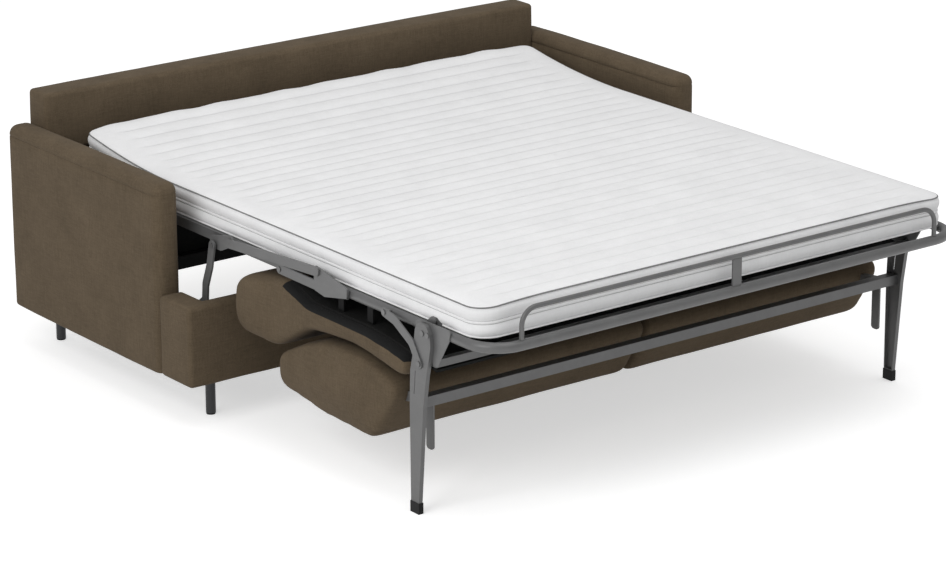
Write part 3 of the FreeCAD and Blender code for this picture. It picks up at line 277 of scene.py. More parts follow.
def woven_group():
    """Plain weave with uneven yarn, whose tone also wanders over the cloth in clouds."""
    along_yarn, melange_gain, cloud_share = 0.16, 3.2, 0.5
    group, enter, leave = new_group("woven_yarn", {"Thread": 700.0, "Melange": 0.5})
    place = object_place(group)
    fine = speckle(group, place, enter.outputs["Thread"], detail=1.5)
    upright = speckle(group, object_place(group, (1, 1, along_yarn)), scale=190.0, detail=3.0)
    lying = speckle(
        group, object_place(group, (along_yarn, along_yarn, 1)), scale=210.0, detail=3.0)
    cloudy = speckle(group, place, scale=9.0, detail=3.0)
    grain = mean(group, mean(group, upright, lying), fine)
    spread = math_node(
        group, "MULTIPLY", math_node(group, "SUBTRACT", grain, 0.5), enter.outputs["Melange"])
    clouds = math_node(
        group, "MULTIPLY", math_node(group, "SUBTRACT", cloudy, 0.5), cloud_share)
    tone = math_node(
        group, "ADD", math_node(group, "MULTIPLY", spread, melange_gain), clouds)
    group.links.new(math_node(group, "ADD", tone, 0.5), leave.inputs["Tone"])
    group.links.new(scaled(group, grain, gain=0.12, base=0.84), leave.inputs["Rough"])
    group.links.new(grain, leave.inputs["Height"])
    return group


def coat_group():
    """Powder coat: fine orange peel, faint cloudy tone and rubbed streaks."""
    along_rub, rub_power, cloud_share = 0.2, 4.0, 0.5
    group, enter, leave = new_group("powder_coat", {"Peel": 420.0, "Wear": 0.35})
    place = object_place(group)
    peel = speckle(group, place, enter.outputs["Peel"], detail=2.0)
    cloudy = speckle(group, place, scale=14.0, detail=4.0)
    scuffs = speckle(
        group, object_place(group, (1, along_rub, 1)), scale=60.0, detail=4.0)
    rubbed = math_node(group, "MULTIPLY",
                       math_node(group, "POWER", scuffs, rub_power), enter.outputs["Wear"])
    group.links.new(scaled(group, cloudy, cloud_share, rubbed), leave.inputs["Tone"])
    group.links.new(scaled(group, cloudy, gain=0.16, base=0.34), leave.inputs["Rough"])
    group.links.new(peel, leave.inputs["Height"])
    return group


RAMP_ENDS = (0.2, 0.8)
SHEEN_ROUGHNESS = 0.6


def plain_material(name, dark, light, group, values, bump, bump_depth,
                   metallic=0.0, sheen=0.0, gloss=0.5):
    """A finish whose tone, roughness and relief come from one of the shared groups."""
    material = bpy.data.materials.new(name)
    material.use_nodes = True
    tree = material.node_tree
    shader = tree.nodes["Principled BSDF"]
    shader.inputs["Metallic"].default_value = metallic
    shader.inputs["Sheen Weight"].default_value = sheen
    shader.inputs["Sheen Roughness"].default_value = SHEEN_ROUGHNESS
    shader.inputs["Specular IOR Level"].default_value = gloss
    finish = tree.nodes.new("ShaderNodeGroup")
    finish.node_tree = group
    for label, value in values.items():
        finish.inputs[label].default_value = value
    ramp = tree.nodes.new("ShaderNodeValToRGB")
    for element, place, colour in zip(ramp.color_ramp.elements, RAMP_ENDS, (dark, light)):
        element.position = place
        element.color = (*colour, 1)
    relief = node(tree, "ShaderNodeBump", Strength=bump, Distance=bump_depth)
    tree.links.new(finish.outputs["Tone"], ramp.inputs["Fac"])
    tree.links.new(ramp.outputs["Color"], shader.inputs["Base Color"])
    tree.links.new(finish.outputs["Rough"], shader.inputs["Roughness"])
    tree.links.new(finish.outputs["Height"], relief.inputs["Height"])
    tree.links.new(relief.outputs["Normal"], shader.inputs["Normal"])
    return material


def paint_where(material, attribute, strength, colour, start, end):
    """Lay a second colour over a finish, as a value kept in the mesh goes from start to end."""
    tree = material.node_tree
    shader = tree.nodes["Principled BSDF"]
    plain = shader.inputs["Base Color"].links[0].from_socket
    value = node(tree, "ShaderNodeAttribute", attribute_name=attribute)
    share = node(tree, "ShaderNodeMapRange", From_Min=start, From_Max=end, To_Max=strength)
    mix = node(tree, "ShaderNodeMixRGB", Color2=(*colour, 1))
    tree.links.new(value.outputs["Fac"], share.inputs["Value"])
    tree.links.new(share.outputs["Result"], mix.inputs["Fac"])
    tree.links.new(plain, mix.inputs["Color1"])
    tree.links.new(mix.outputs["Color"], shader.inputs["Base Color"])


def grey(level):
    return (level, level, level)


# Finishes: cloths first, then coated steel, zinc and plastic.

WOVEN = woven_group()
COAT = coat_group()

cover = plain_material(
    "brown_woven_cover", (0.077, 0.056, 0.034), (0.136, 0.101, 0.064), WOVEN,
    {"Thread": 620.0, "Melange": 0.5}, bump=0.35, bump_depth=0.0006, sheen=0.02, gloss=0.2)
lining = plain_material(
    "black_lining", (0.006, 0.006, 0.006), (0.016, 0.016, 0.015), WOVEN,
    {"Thread": 900.0, "Melange": 0.5}, bump=0.25, bump_depth=0.0004, gloss=0.15)
ticking = plain_material(
    "white_ticking", (0.74, 0.74, 0.745), (0.88, 0.88, 0.885), WOVEN,
    {"Thread": 800.0, "Melange": 0.3}, bump=0.2, bump_depth=0.0004, sheen=0.05)
tape = plain_material(
    "grey_edge_tape", grey(0.13), grey(0.24), WOVEN,
    {"Thread": 1100.0, "Melange": 0.5}, bump=0.3, bump_depth=0.0004)
seam_thread = plain_material(
    "grey_seam_thread", grey(0.34), grey(0.50), WOVEN,
    {"Thread": 1300.0, "Melange": 0.5}, bump=0.3, bump_depth=0.0003)
frame_coat = plain_material(
    "grey_powder_coat", grey(0.125), grey(0.190), COAT,
    {"Peel": 420.0, "Wear": 0.3}, bump=0.08, bump_depth=0.0003, metallic=0.2)
link_coat = plain_material(
    "grey_link_coat", grey(0.130), grey(0.200), COAT,
    {"Peel": 380.0, "Wear": 0.5}, bump=0.08, bump_depth=0.0003, metallic=0.2)
pin_finish = plain_material(
    "zinc_pins", grey(0.16), grey(0.28), COAT,
    {"Peel": 300.0, "Wear": 0.6}, bump=0.1, bump_depth=0.0002, metallic=0.7)
foot_coat = plain_material(
    "dark_foot_coat", (0.028, 0.029, 0.031), (0.06, 0.061, 0.064), COAT,
    {"Peel": 500.0, "Wear": 0.3}, bump=0.08, bump_depth=0.0002, metallic=0.3)
black_plastic = plain_material(
    "black_moulded_plastic", grey(0.006), grey(0.018), COAT,
    {"Peel": 900.0, "Wear": 0.2}, bump=0.15, bump_depth=0.0002, gloss=0.15)
# Painted shade: the rear beam and the seat hangers are frame steel, coated near black here to
# paint in the shade they sit in.
painted_shade_coat = plain_material(
    "steel_painted_black_for_shade", grey(0.007), grey(0.016), COAT,
    {"Peel": 420.0, "Wear": 0.1}, bump=0.08, bump_depth=0.0003, gloss=0.06)

# Grey quilting thread, painted paler towards the foot as painted light.
paint_where(ticking, "stitch", strength=0.34, colour=(0.30, 0.30, 0.31), start=0.0, end=1.0)
cover_and_base = cover.copy()
cover_and_base.name = "brown_cover_with_black_base"
paint_where(
    cover_and_base, "base_cloth", strength=1.0, colour=grey(0.009), start=-0.05, end=0.05)

SLOT_FINISH = {
    "frame_steel": frame_coat,
    "link_steel": link_coat,
    "pin_steel": pin_finish,
    "foot_steel": foot_coat,
    "black_plastic": black_plastic,
    "backing_board": lining,
    "upholstery_fabric": cover,
    "mattress_quilt": ticking,
}
for part in frame["record"]["subparts"]:
    give(nodes[part["node"]], SLOT_FINISH[part["material_slot"]])
# Painted shade: these two frame parts take the near-black coat in place of the grey frame coat.
for name in ("rear_beam", "seat_hangers"):
    give(nodes[name], painted_shade_coat)


# Upholstered blocks: arms, back and front rail.

BLOCK_SHADE_ANGLE = 50
SLACK_SCALE = 9.0
BLOCK_SLACK = 0.0008
RAIL_SLACK = 0.001

# A face's bulge is broad where the first power is small, and leaves the edges alone where the
# second is large.
BULGE_POWER = 0.6
EDGE_POWER = 9

EDGE_SEGMENTS = 6
FOOT_SEGMENTS = 3
SEAM_HALF = 0.003
SEAM_DEEP = 0.0022
SEAM_PICK = 0.8
ARM_HALF_THICK = 0.05


def uneven(obj, scale, amount, shift=0.0):
    """Move each vertex a little, as slack cloth or uneven foam does."""
    offset = Vector((shift, 0, 0))
    for vert in obj.data.vertices:
        vert.co += noise.noise_vector(vert.co * scale + offset) * amount


def swell(obj, low, high, crown):
    """Bulge each face of a padded block in its middle."""
    centre = (low + high) / 2
    half = (high - low) / 2
    for vert in obj.data.vertices:
        share = [(vert.co[i] - centre[i]) / half[i] for i in range(3)]
        for i in range(3):
            first, second = [share[j] for j in range(3) if j != i]
            hump = max(0.0, 1 - first ** 2) * max(0.0, 1 - second ** 2)
            side = math.copysign(abs(share[i]) ** EDGE_POWER, share[i])
            vert.co[i] += crown * hump ** BULGE_POWER * side


def sink_seam(obj, height, centre):
    """Draw the ring of a horizontal seam in towards the block's middle."""
    for vert in obj.data.vertices:
        if abs(vert.co.z - height) < SEAM_HALF * SEAM_PICK:
            inward = centre - vert.co
            axis = 0 if abs(inward.x) < ARM_HALF_THICK else 1
            vert.co[axis] += math.copysign(SEAM_DEEP, inward[axis])


def padded_block(name, low, high, edge, crown, net, seams=(), foot_edge=None):
    """A soft upholstered block with rounded edges; seams are heights of sunk stitch lines."""
    obj = block(name, low, high)
    foot = low.z + ON_PLANE
    to_edit(obj, "EDGE")
    if foot_edge is None:
        bpy.ops.mesh.select_all(action="SELECT")
    else:
        pick(obj, "edges", lambda e: max(v.co.z for v in e.verts) > foot)
    round_edges(edge, EDGE_SEGMENTS)
    if foot_edge is not None:
        pick(obj, "edges", lambda e: (
            max(v.co.z for v in e.verts) < foot and e.calc_face_angle(0) > CREASE))
        round_edges(foot_edge, FOOT_SEGMENTS)
    for axis in range(3):
        slice_at(axis, steps(low[axis] + edge, high[axis] - edge, net))
    for seam in seams:
        slice_at(2, [seam - SEAM_HALF, seam, seam + SEAM_HALF])
    leave_edit()
    swell(obj, low, high, crown)
    uneven(obj, SLACK_SCALE, BLOCK_SLACK)
    for seam in seams:
        sink_seam(obj, seam, (low + high) / 2)
    soften(obj, BLOCK_SHADE_ANGLE)
    give(obj, cover)
    return obj


ARM_EDGE = 0.027
ARM_FOOT_EDGE = 0.008
ARM_CROWN = 0.005
ARM_NET = 0.04
ARM_SEAM_DROP = 0.030


def arms():
    for side in ("left", "right"):
        low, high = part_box(side + "_arm")
        arm = padded_block(side + "_arm_cover", low, high, ARM_EDGE, ARM_CROWN, ARM_NET,
                           seams=[high.z - ARM_SEAM_DROP], foot_edge=ARM_FOOT_EDGE)
        dress(arm, "sofa", "upholstery_fabric", side + "_arm", fill=0.9)


# The back is a thick cap on a thin wall, whose inner side is lined in black below the cap.
CAP_DEEP = 0.095
CAP_LOW = 0.575
CAP_EDGE = 0.012
CAP_CROWN = 0.004
CAP_NET = 0.05
WALL_THICK = 0.016
WALL_LAP = 0.012
WALL_EDGE = 0.005
WALL_NET = 0.1
LINING_TOP = 0.500
LINING_IN = 0.004
LINING_PROUD = 0.0015
LINING_SUNK = 0.001
LINING_EDGE = 0.0006


def back_panel():
    low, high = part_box("back_panel")
    cap_low = Vector((low.x, high.y - CAP_DEEP, CAP_LOW))
    cap = padded_block("back_cap_cover", cap_low, high, CAP_EDGE, CAP_CROWN, CAP_NET)
    dress(cap, "sofa", "upholstery_fabric", "back_panel", fill=0.85)

    inner = high.y - WALL_THICK
    wall_low = Vector((low.x, inner, low.z))
    wall_high = Vector((high.x, high.y, CAP_LOW + WALL_LAP))
    wall = padded_block("back_wall_cover", wall_low, wall_high, WALL_EDGE, 0.0, WALL_NET)
    dress(wall, "sofa", "upholstery_fabric")

    lining_low = Vector((low.x + LINING_IN, inner - LINING_PROUD, low.z + LINING_IN))
    lining_high = Vector((high.x - LINING_IN, inner + LINING_SUNK, LINING_TOP))
    inner_lining = padded_block(
        "back_wall_lining", lining_low, lining_high, LINING_EDGE, 0.0, WALL_NET)
    give(inner_lining, lining)
    dress(inner_lining, "sofa", "backing_board")


RAIL_THICK = 0.048
RAIL_END_THICK = 0.078
RAIL_EDGE = 0.014
RAIL_SEGMENTS = 5
RAIL_NET = 0.04
FACING = 0.9


def front_rail():
    """One long padded bar with a block turned back at each end."""
    low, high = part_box("front_rail")
    bar_high = Vector((high.x, low.y + RAIL_THICK, high.z))
    inner = high.x - RAIL_END_THICK
    obj = block("front_rail_cover", low, bar_high)
    to_edit(obj, "FACE")
    slice_at(0, [-inner, inner])
    bpy.ops.mesh.select_mode(type="FACE")
    pick(obj, "faces", lambda f: (
        f.normal.y > FACING and abs(f.calc_center_median().x) > inner))
    pull_out((0, high.y - bar_high.y, 0))
    bpy.ops.mesh.select_mode(type="EDGE")
    pick(obj, "edges", lambda e: e.is_manifold and e.calc_face_angle(0) > CREASE)
    round_edges(RAIL_EDGE, RAIL_SEGMENTS)
    for axis in range(3):
        margin = RAIL_NET / 2
        slice_at(axis, steps(low[axis] + margin, high[axis] - margin, RAIL_NET))
    leave_edit()
    uneven(obj, SLACK_SCALE, RAIL_SLACK)
    soften(obj, BLOCK_SHADE_ANGLE)
    give(obj, cover)
    dress(obj, "sofa", "upholstery_fabric", "front_rail", fill=0.85)


arms()
back_panel()
front_rail()


# Seat and back cushions, from the space that their solids hold.

CUSHION_VOXEL = 0.009
FOAM_SCALE = 7.0
FOAM_UNEVEN = 0.0016
SIDE_SHIFT = 3.0
SMOOTH_ALL = 180

# Cloth simulation: its frames, how far the cover starts inside, how far a point may then move
# out, and the share of that which is left to faces that don't look sideways.
SIMULATED_FRAMES = 12
PULLED_IN = 0.002
SEAT_ROOM = 0.012
BACK_ROOM = 0.016
FACE_SHARE = 0.35

# End panels of the back cushions: steps inward and outward.
END_STEPS = ((0.002, 0.006), (0.004, 0.005), (0.006, 0.003))
PANEL_CORNERS = 8

# Stitched seam along a stowed back cushion's front, a little above its lowest edge.
CUSHION_SEAM = 0.0022
CUSHION_SEAM_PICK = 0.3
SEAM_SINK = 0.0022
FRONT_SEAM_UP = 0.032
SEEN_FRONT = -0.3

# The seat's base is black from this depth on, where it faces up; the rest of it is brown.
BLACK_FROM = 1.225
BLACK_BLEND = 0.02
HELD_UP = 0.75
BASE_UP = 0.42
BASE_BLEND = 0.4

# The seat's front roll, which is fuller than its solid, from one depth back to another.
ROLL_WIDER = 0.012
ROLL_FRONT = 1.006
ROLL_BACK = 1.20
ROLL_QUICK = 1.6
ROLL_NOSE = 0.4


def joined_loops(edges):
    """Closed loops of vertices from a set of loose edges."""
    loops = []
    while edges:
        loop = list(edges.pop().verts)
        following = True
        while following:
            following = next((e for e in loop[-1].link_edges if e in edges), None)
            if following:
                edges.remove(following)
                loop.append(following.other_vert(loop[-1]))
        loops.append(loop[:-1])
    return loops


def side_outline(source, cut):
    """The outer loop of a cushion's solid where a plane across the sofa cuts it.

    It starts at its least point and turns the same way in every run.
    """
    mesh = bmesh.new()
    mesh.from_mesh(nodes[source].data)
    bmesh.ops.remove_doubles(mesh, verts=mesh.verts, dist=WELD_SOLID)
    geometry = mesh.verts[:] + mesh.edges[:] + mesh.faces[:]
    found = bmesh.ops.bisect_plane(
        mesh, geom=geometry, plane_co=(cut, 0, 0), plane_no=(1, 0, 0))
    edges = {item for item in found["geom_cut"] if isinstance(item, bmesh.types.BMEdge)}
    outlines = [[(vert.co.y, vert.co.z) for vert in loop] for loop in joined_loops(edges)]
    mesh.free()
    outer = max(outlines, key=lambda points: max(points)[0] - min(points)[0])
    first = outer.index(min(outer))
    outer = outer[first:] + outer[:first]
    return outer if outer[1] < outer[-1] else outer[:1] + outer[:0:-1]


def box_cushion(name, source):
    """A block of the cushion's own outline, its two end panels drawn in round their edges."""
    low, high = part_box(source)
    panel = sum(out for _, out in END_STEPS)
    outline = side_outline(source, (low.x + high.x) / 2)
    mesh = bpy.data.meshes.new(name)
    start = high.x - panel
    mesh.from_pydata([(start, y, z) for y, z in outline], [], [range(len(outline))])
    obj = add_object(name, mesh)
    to_edit(obj, "FACE")
    bpy.ops.mesh.select_all(action="SELECT")
    pull_out((low.x - high.x + 2 * panel, 0, 0))
    weld(WELD)
    face_outward()
    pick(obj, "faces", lambda f: len(f.verts) > PANEL_CORNERS)
    for inward, out in END_STEPS:
        bpy.ops.mesh.inset(thickness=inward, depth=out)
    leave_edit()
    return obj


def solid_copy(name, source):
    """A copy of a cushion's solid, its loose faces joined."""
    obj = copy_object(nodes[source], name)
    to_edit(obj)
    weld(WELD_SOLID)
    leave_edit()
    return obj


def even_net(obj):
    """Give a cushion an even net of faces."""
    remesh = obj.modifiers.new("even", "REMESH")
    remesh.mode = "VOXEL"
    remesh.voxel_size = CUSHION_VOXEL
    calm(obj)
    apply_all(obj)


def inflate(obj, room, held):
    """Fill the cover by a short cloth simulation, scaled so that no point passes its room."""
    start = [vert.co.copy() for vert in obj.data.vertices]
    outward = [vert.normal.copy() for vert in obj.data.vertices]
    group = obj.vertex_groups.new(name="held")
    for vert, normal in zip(obj.data.vertices, outward):
        if held(vert.co, normal):
            group.add([vert.index], 1.0, "REPLACE")
        else:
            vert.co -= normal * PULLED_IN
    cloth = obj.modifiers.new("cloth", "CLOTH")
    fabric = cloth.settings
    fabric.quality = 4
    fabric.mass = 0.35
    fabric.tension_stiffness = 15
    fabric.compression_stiffness = 15
    fabric.shear_stiffness = 5
    fabric.bending_stiffness = 3
    fabric.use_pressure = True
    fabric.uniform_pressure_force = 4
    fabric.vertex_group_mass = "held"
    fabric.effector_weights.gravity = 0
    cloth.collision_settings.use_collision = False
    for frame_number in range(1, SIMULATED_FRAMES + 1):
        bpy.context.scene.frame_set(frame_number)
    apply_all(obj)
    bpy.context.scene.frame_set(1)
    moves = [vert.co - first for vert, first in zip(obj.data.vertices, start)]
    scale = min(1.0, room / max(move.length for move in moves))
    for vert, first, move, normal in zip(obj.data.vertices, start, moves, outward):
        vert.co = first + move * scale * (FACE_SHARE + (1 - FACE_SHARE) * normal.x ** 2)
    calm(obj)
    apply_all(obj)


def sew_front(obj, height):
    """Sink a stitched seam along a cushion's front face."""
    to_edit(obj)
    slice_at(2, [height - CUSHION_SEAM, height, height + CUSHION_SEAM])
    leave_edit()
    moves = {}
    for vert in obj.data.vertices:
        on_seam = abs(vert.co.z - height) < CUSHION_SEAM * CUSHION_SEAM_PICK
        if on_seam and vert.normal.y < SEEN_FRONT:
            moves[vert.index] = vert.normal * SEAM_SINK
    for index, move in moves.items():
        obj.data.vertices[index].co -= move


def finish_cushion(obj, shift):
    """One subdivision, then the faint unevenness of foam under cloth."""
    subdivide = obj.modifiers.new("smoother", "SUBSURF")
    subdivide.levels = 1
    subdivide.render_levels = 1
    apply_all(obj)
    uneven(obj, FOAM_SCALE, FOAM_UNEVEN, shift)
    give(obj, cover)
    soften(obj, SMOOTH_ALL)


def both_sides(left, right_name):
    """The left cushion and its mirror image for the right, turned the right way out."""
    right = copy_object(left, right_name)
    right.scale = (-1, 1, 1)
    apply_place(right)
    to_edit(right)
    face_outward()
    leave_edit()
    return (left, "left", -SIDE_SHIFT), (right, "right", SIDE_SHIFT)


def line_underside(obj):
    """Black cloth on the cushion's base, which faces up while it hangs under the bed."""
    values = obj.data.attributes.new("base_cloth", "FLOAT", "POINT")
    for vert in obj.data.vertices:
        turned = (vert.normal.z - BASE_UP) / BASE_BLEND
        behind = (depth_of(vert.co) - BLACK_FROM) / BLACK_BLEND
        values.data[vert.index].value = max(-1.0, min(turned, behind, 1.0))
    give(obj, cover_and_base)


def widen_roll(obj):
    """Let the seat's front roll stand out at its end and nose, as fuller foam does."""
    normals = [vert.normal.copy() for vert in obj.data.vertices]
    for vert, normal in zip(obj.data.vertices, normals):
        along = (ROLL_BACK - depth_of(vert.co)) / (ROLL_BACK - ROLL_FRONT)
        share = smooth_step(along * ROLL_QUICK)
        vert.co.x += math.copysign(ROLL_WIDER, vert.co.x) * share * abs(normal.x)
        vert.co.y += ROLL_NOSE * ROLL_WIDER * share * max(0.0, normal.y)


def cushions():
    seat = solid_copy("seat_cover_left", "seat_cushion_left")
    even_net(seat)
    widen_roll(seat)
    inflate(seat, SEAT_ROOM,
            lambda co, normal: normal.z > HELD_UP and depth_of(co) > BLACK_FROM)
    back = box_cushion("back_cushion_cover_left", "back_cushion_left")
    even_net(back)
    inflate(back, BACK_ROOM, lambda co, normal: False)

    for obj, side, shift in both_sides(seat, "seat_cover_right"):
        finish_cushion(obj, shift)
        line_underside(obj)
        dress(obj, "foot_section", "upholstery_fabric", "seat_cushion_" + side, fill=0.8)
    back_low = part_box("back_cushion_left")[0].z
    for obj, side, shift in both_sides(back, "back_cushion_cover_right"):
        finish_cushion(obj, shift)
        sew_front(obj, back_low + FRONT_SEAM_UP)
        dress(obj, "back", "upholstery_fabric", "back_cushion_" + side, fill=0.75)


cushions()


# Mattress: one quilted form, cut at the folds of the frame.

SEAMS = (0.179, 0.650, 1.183, 1.399, 1.850, 2.029)
MIDDLE = (SEAMS[0] + SEAMS[-1]) / 2
SECTIONS = (
    ("head", "head_section"), ("mid", "mid_section"), ("link", "fold_link"),
    ("foot", "foot_section"), ("end", "end_section"),
)
MATTRESS_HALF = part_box("mattress_mid")[1].x
MATTRESS_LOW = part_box("mattress_foot")[0].z
MATTRESS_TOP = 0.615
MATTRESS_SHADE_ANGLE = 60
HEAD_CORNER = 0.026
FOOT_CORNER = 0.060
HEAD_RISE = 0.046

# Net of the top: cells over each quilted channel, and across, closer towards the sides.
CHANNEL = 0.060
CHANNEL_CELLS = (0.0, 0.06, 0.16, 0.32, 0.5, 0.68, 0.84, 0.94)
ACROSS_CELLS = 72
SIDE_CROWDING = 1.35

# The top falls at its rim and towards its sides, and its head end is puckered.
RIM_FALL = 0.005
RIM_WIDE = 0.03
SIDE_FALL = 0.009
SIDE_WIDE = 0.22
PUCKER = 0.0014
PUCKER_FADE = 0.035
PUCKER_WAVES = ((33.0, 0.0, 1.0), (51.0, 1.3, 0.5))

# Stitch lines: sharp sink and broad sink of the cloth, width of the thread, and where the lines
# end before the sides and the rim. Towards the foot the thread is painted paler: painted light,
# for the stronger light that washes it out there.
STITCH_SEED = 21
STITCH_PULL = (0.75, 1.15)
STITCH_WANDER = (-0.012, 0.02)
SINK_SHARP = 0.0032
SINK_SHARP_WIDE = 0.007
SINK_BROAD = 0.0026
THREAD_WIDE = 0.0022
STITCH_SIDE = 0.045
STITCH_SIDE_FADE = 0.07
STITCH_RIM = 0.012
STITCH_RIM_FADE = 0.03
LIGHT_WASH_FROM = 1.1
LIGHT_WASH_WIDE = 0.7
LIGHT_WASH_SHARE = 0.4

# Border of the mattress from top to bottom: share of its height, standing out, finish.
TICKING, TAPE, THREAD = range(3)
BORDER_FINISHES = (ticking, tape, seam_thread)
BORDER_ROWS = (
    (0.990, 0.0004, TAPE), (0.992, 0.0020, TAPE), (0.978, 0.0032, TAPE),
    (0.962, 0.0022, TAPE), (0.954, 0.0004, TICKING), (0.91, 0.0034, TICKING),
    (0.82, 0.0066, TICKING), (0.72, 0.0064, TICKING), (0.62, 0.0040, TICKING),
    (0.560, 0.0012, TICKING), (0.548, 0.0006, THREAD), (0.535, 0.0026, TICKING),
    (0.50, 0.0036, TICKING), (0.465, 0.0026, TICKING), (0.452, 0.0006, TICKING),
    (0.440, 0.0012, THREAD), (0.38, 0.0036, TICKING), (0.28, 0.0062, TICKING),
    (0.18, 0.0056, TICKING), (0.10, 0.0034, TICKING), (0.065, 0.0010, TICKING),
    (0.055, 0.0030, TICKING), (0.035, 0.0042, TICKING), (0.012, 0.0030, TICKING),
    (0.0, 0.0006, TICKING),
)


def channel_lines():
    lines = []
    for near, far in zip(SEAMS, SEAMS[1:]):
        count = round((far - near) / CHANNEL)
        lines += [near + (far - near) * i / count for i in range(count)]
    return lines + [SEAMS[-1]]


LINES = channel_lines()


def rise(depth):
    """The mattress bends up towards its head."""
    share = max(0.0, (SEAMS[1] - depth) / (SEAMS[1] - SEAMS[0]))
    return HEAD_RISE * share ** 2


def corner_of(x, depth):
    """Nearest plan corner's centre and radius, or None away from the corners."""
    at_head = depth < MIDDLE
    radius = HEAD_CORNER if at_head else FOOT_CORNER
    inner_x = MATTRESS_HALF - radius
    centre = SEAMS[0] + radius if at_head else SEAMS[-1] - radius
    beyond = depth < centre if at_head else depth > centre
    if abs(x) > inner_x and beyond:
        return math.copysign(inner_x, x), centre, radius
    return None


def into_plan(x, depth):
    """Bring a point of the square grid into the plan with its rounded corners."""
    found = corner_of(x, depth)
    if found is None:
        return x, depth
    u, v = x - found[0], depth - found[1]
    reach = max(abs(u), abs(v))
    length = math.hypot(u, v)
    if length < ON_PLANE:
        return x, depth
    return found[0] + u * reach / length, found[1] + v * reach / length


def plan_normal(x, depth):
    """The direction straight out of the plan's outline at a point on it."""
    found = corner_of(x, depth)
    if found is not None:
        out = Vector((x - found[0], found[1] - depth, 0))
        if out.length > ON_PLANE:
            return out.normalized()
    if abs(x) > MATTRESS_HALF - WELD:
        return Vector((math.copysign(1, x), 0, 0))
    return Vector((0, -1 if depth > MIDDLE else 1, 0))


def border_distance(x, depth):
    found = corner_of(x, depth)
    if found is not None:
        return found[2] - math.hypot(x - found[0], depth - found[1])
    return min(MATTRESS_HALF - abs(x), depth - SEAMS[0], SEAMS[-1] - depth)


def quilted_height(x, depth, habits):
    """Height of the quilted top, and how dark its stitching is painted there, paler at the foot
    as painted light.
    """
    edge = border_distance(x, depth)
    to_side = MATTRESS_HALF - abs(x)
    height = MATTRESS_TOP - RIM_FALL * (1 - min(edge / RIM_WIDE, 1.0)) ** 2
    height -= SIDE_FALL * (1 - min(to_side / SIDE_WIDE, 1.0)) ** 2
    pucker = sum(size * math.sin(x * wave + shift) for wave, shift, size in PUCKER_WAVES)
    height += PUCKER * pucker * math.exp(-(depth - SEAMS[0]) / PUCKER_FADE)

    nearest = min(range(len(LINES)), key=lambda i: abs(LINES[i] - depth))
    gap = abs(LINES[nearest] - depth)
    pull, wander = habits[nearest]
    fade = smooth_step((to_side - STITCH_SIDE - wander) / STITCH_SIDE_FADE)
    fade *= smooth_step((edge - STITCH_RIM) / STITCH_RIM_FADE)
    half_channel = CHANNEL / 2
    sink = SINK_SHARP * math.exp(-gap / SINK_SHARP_WIDE)
    sink += SINK_BROAD * (1 + math.cos(min(gap / half_channel, 1) * math.pi)) / 2
    stitch = fade * math.exp(-((gap / THREAD_WIDE) ** 2))
    # Painted light: the thread is painted paler towards the foot, where the light is stronger.
    stitch *= 1 - LIGHT_WASH_SHARE * smooth_step((depth - LIGHT_WASH_FROM) / LIGHT_WASH_WIDE)
    return height - sink * pull * fade, stitch


def quilted_top():
    """The mattress's quilted top, as a sheet."""
    draw = random.Random(STITCH_SEED)
    habits = [(draw.uniform(*STITCH_PULL), draw.uniform(*STITCH_WANDER)) for _ in LINES]
    rows = [a + (b - a) * s for a, b in zip(LINES, LINES[1:]) for s in CHANNEL_CELLS]
    rows.append(LINES[-1])
    last = len(rows) - 1
    bpy.ops.object.select_all(action="DESELECT")
    bpy.ops.mesh.primitive_grid_add(x_subdivisions=ACROSS_CELLS, y_subdivisions=last, size=2)
    top = bpy.context.active_object
    top.name = "mattress_whole"
    stitches = top.data.attributes.new("stitch", "FLOAT", "POINT")
    for vert in top.data.vertices:
        row = round((1 - vert.co.y) / 2 * last)
        across = math.copysign(1 - (1 - abs(vert.co.x)) ** SIDE_CROWDING, vert.co.x)
        x, depth = into_plan(across * MATTRESS_HALF, rows[row])
        height, stitch = quilted_height(x, depth, habits)
        vert.co = (x, y_at(depth), height + rise(depth))
        stitches.data[vert.index].value = stitch
    return top


def flat_underside(top):
    """The sheet that closes the mattress below, with the top's own plan."""
    under = copy_object(top, "mattress_underside")
    stitches = under.data.attributes["stitch"]
    for vert in under.data.vertices:
        vert.co.z = MATTRESS_LOW + rise(depth_of(vert.co))
        stitches.data[vert.index].value = 0.0
    to_edit(under)
    bpy.ops.mesh.select_all(action="SELECT")
    bpy.ops.mesh.flip_normals()
    leave_edit()
    return under


def nearest_outline(point, outline):
    """The outline point that a ring's vertex was extruded from."""
    return min(outline, key=lambda p: (p.x - point.x) ** 2 + (p.y - point.y) ** 2)


def hang_border(top):
    """The taped border with its zip band, ring by ring from the top's outline down."""
    mesh = top.data
    for finish in BORDER_FINISHES:
        mesh.materials.append(finish)
    to_edit(top, "EDGE")
    pick(top, "edges", lambda e: e.is_boundary)
    ring = bmesh.from_edit_mesh(mesh)
    outline = [vert.co.copy() for vert in ring.verts if vert.select]
    made = len(ring.faces)
    for share, out, finish in BORDER_ROWS:
        pull_out((0, 0, 0))
        ring = bmesh.from_edit_mesh(mesh)
        ring.faces.ensure_lookup_table()
        for face in ring.faces[made:]:
            face.material_index = finish
        made = len(ring.faces)
        for vert in ring.verts:
            if vert.select:
                base = nearest_outline(vert.co, outline)
                depth = depth_of(base)
                low = MATTRESS_LOW + rise(depth)
                height = low + (base.z - low) * share
                place = Vector((base.x, base.y, height))
                vert.co = place + plan_normal(base.x, depth) * out
        bmesh.update_edit_mesh(mesh)
    leave_edit()


def cut_away(depth, **side):
    """Cut the whole mesh at a depth and close it there, dropping the side that is named."""
    bpy.ops.mesh.select_all(action="SELECT")
    bpy.ops.mesh.bisect(plane_co=(0, y_at(depth), 0), plane_no=(0, 1, 0), use_fill=True, **side)


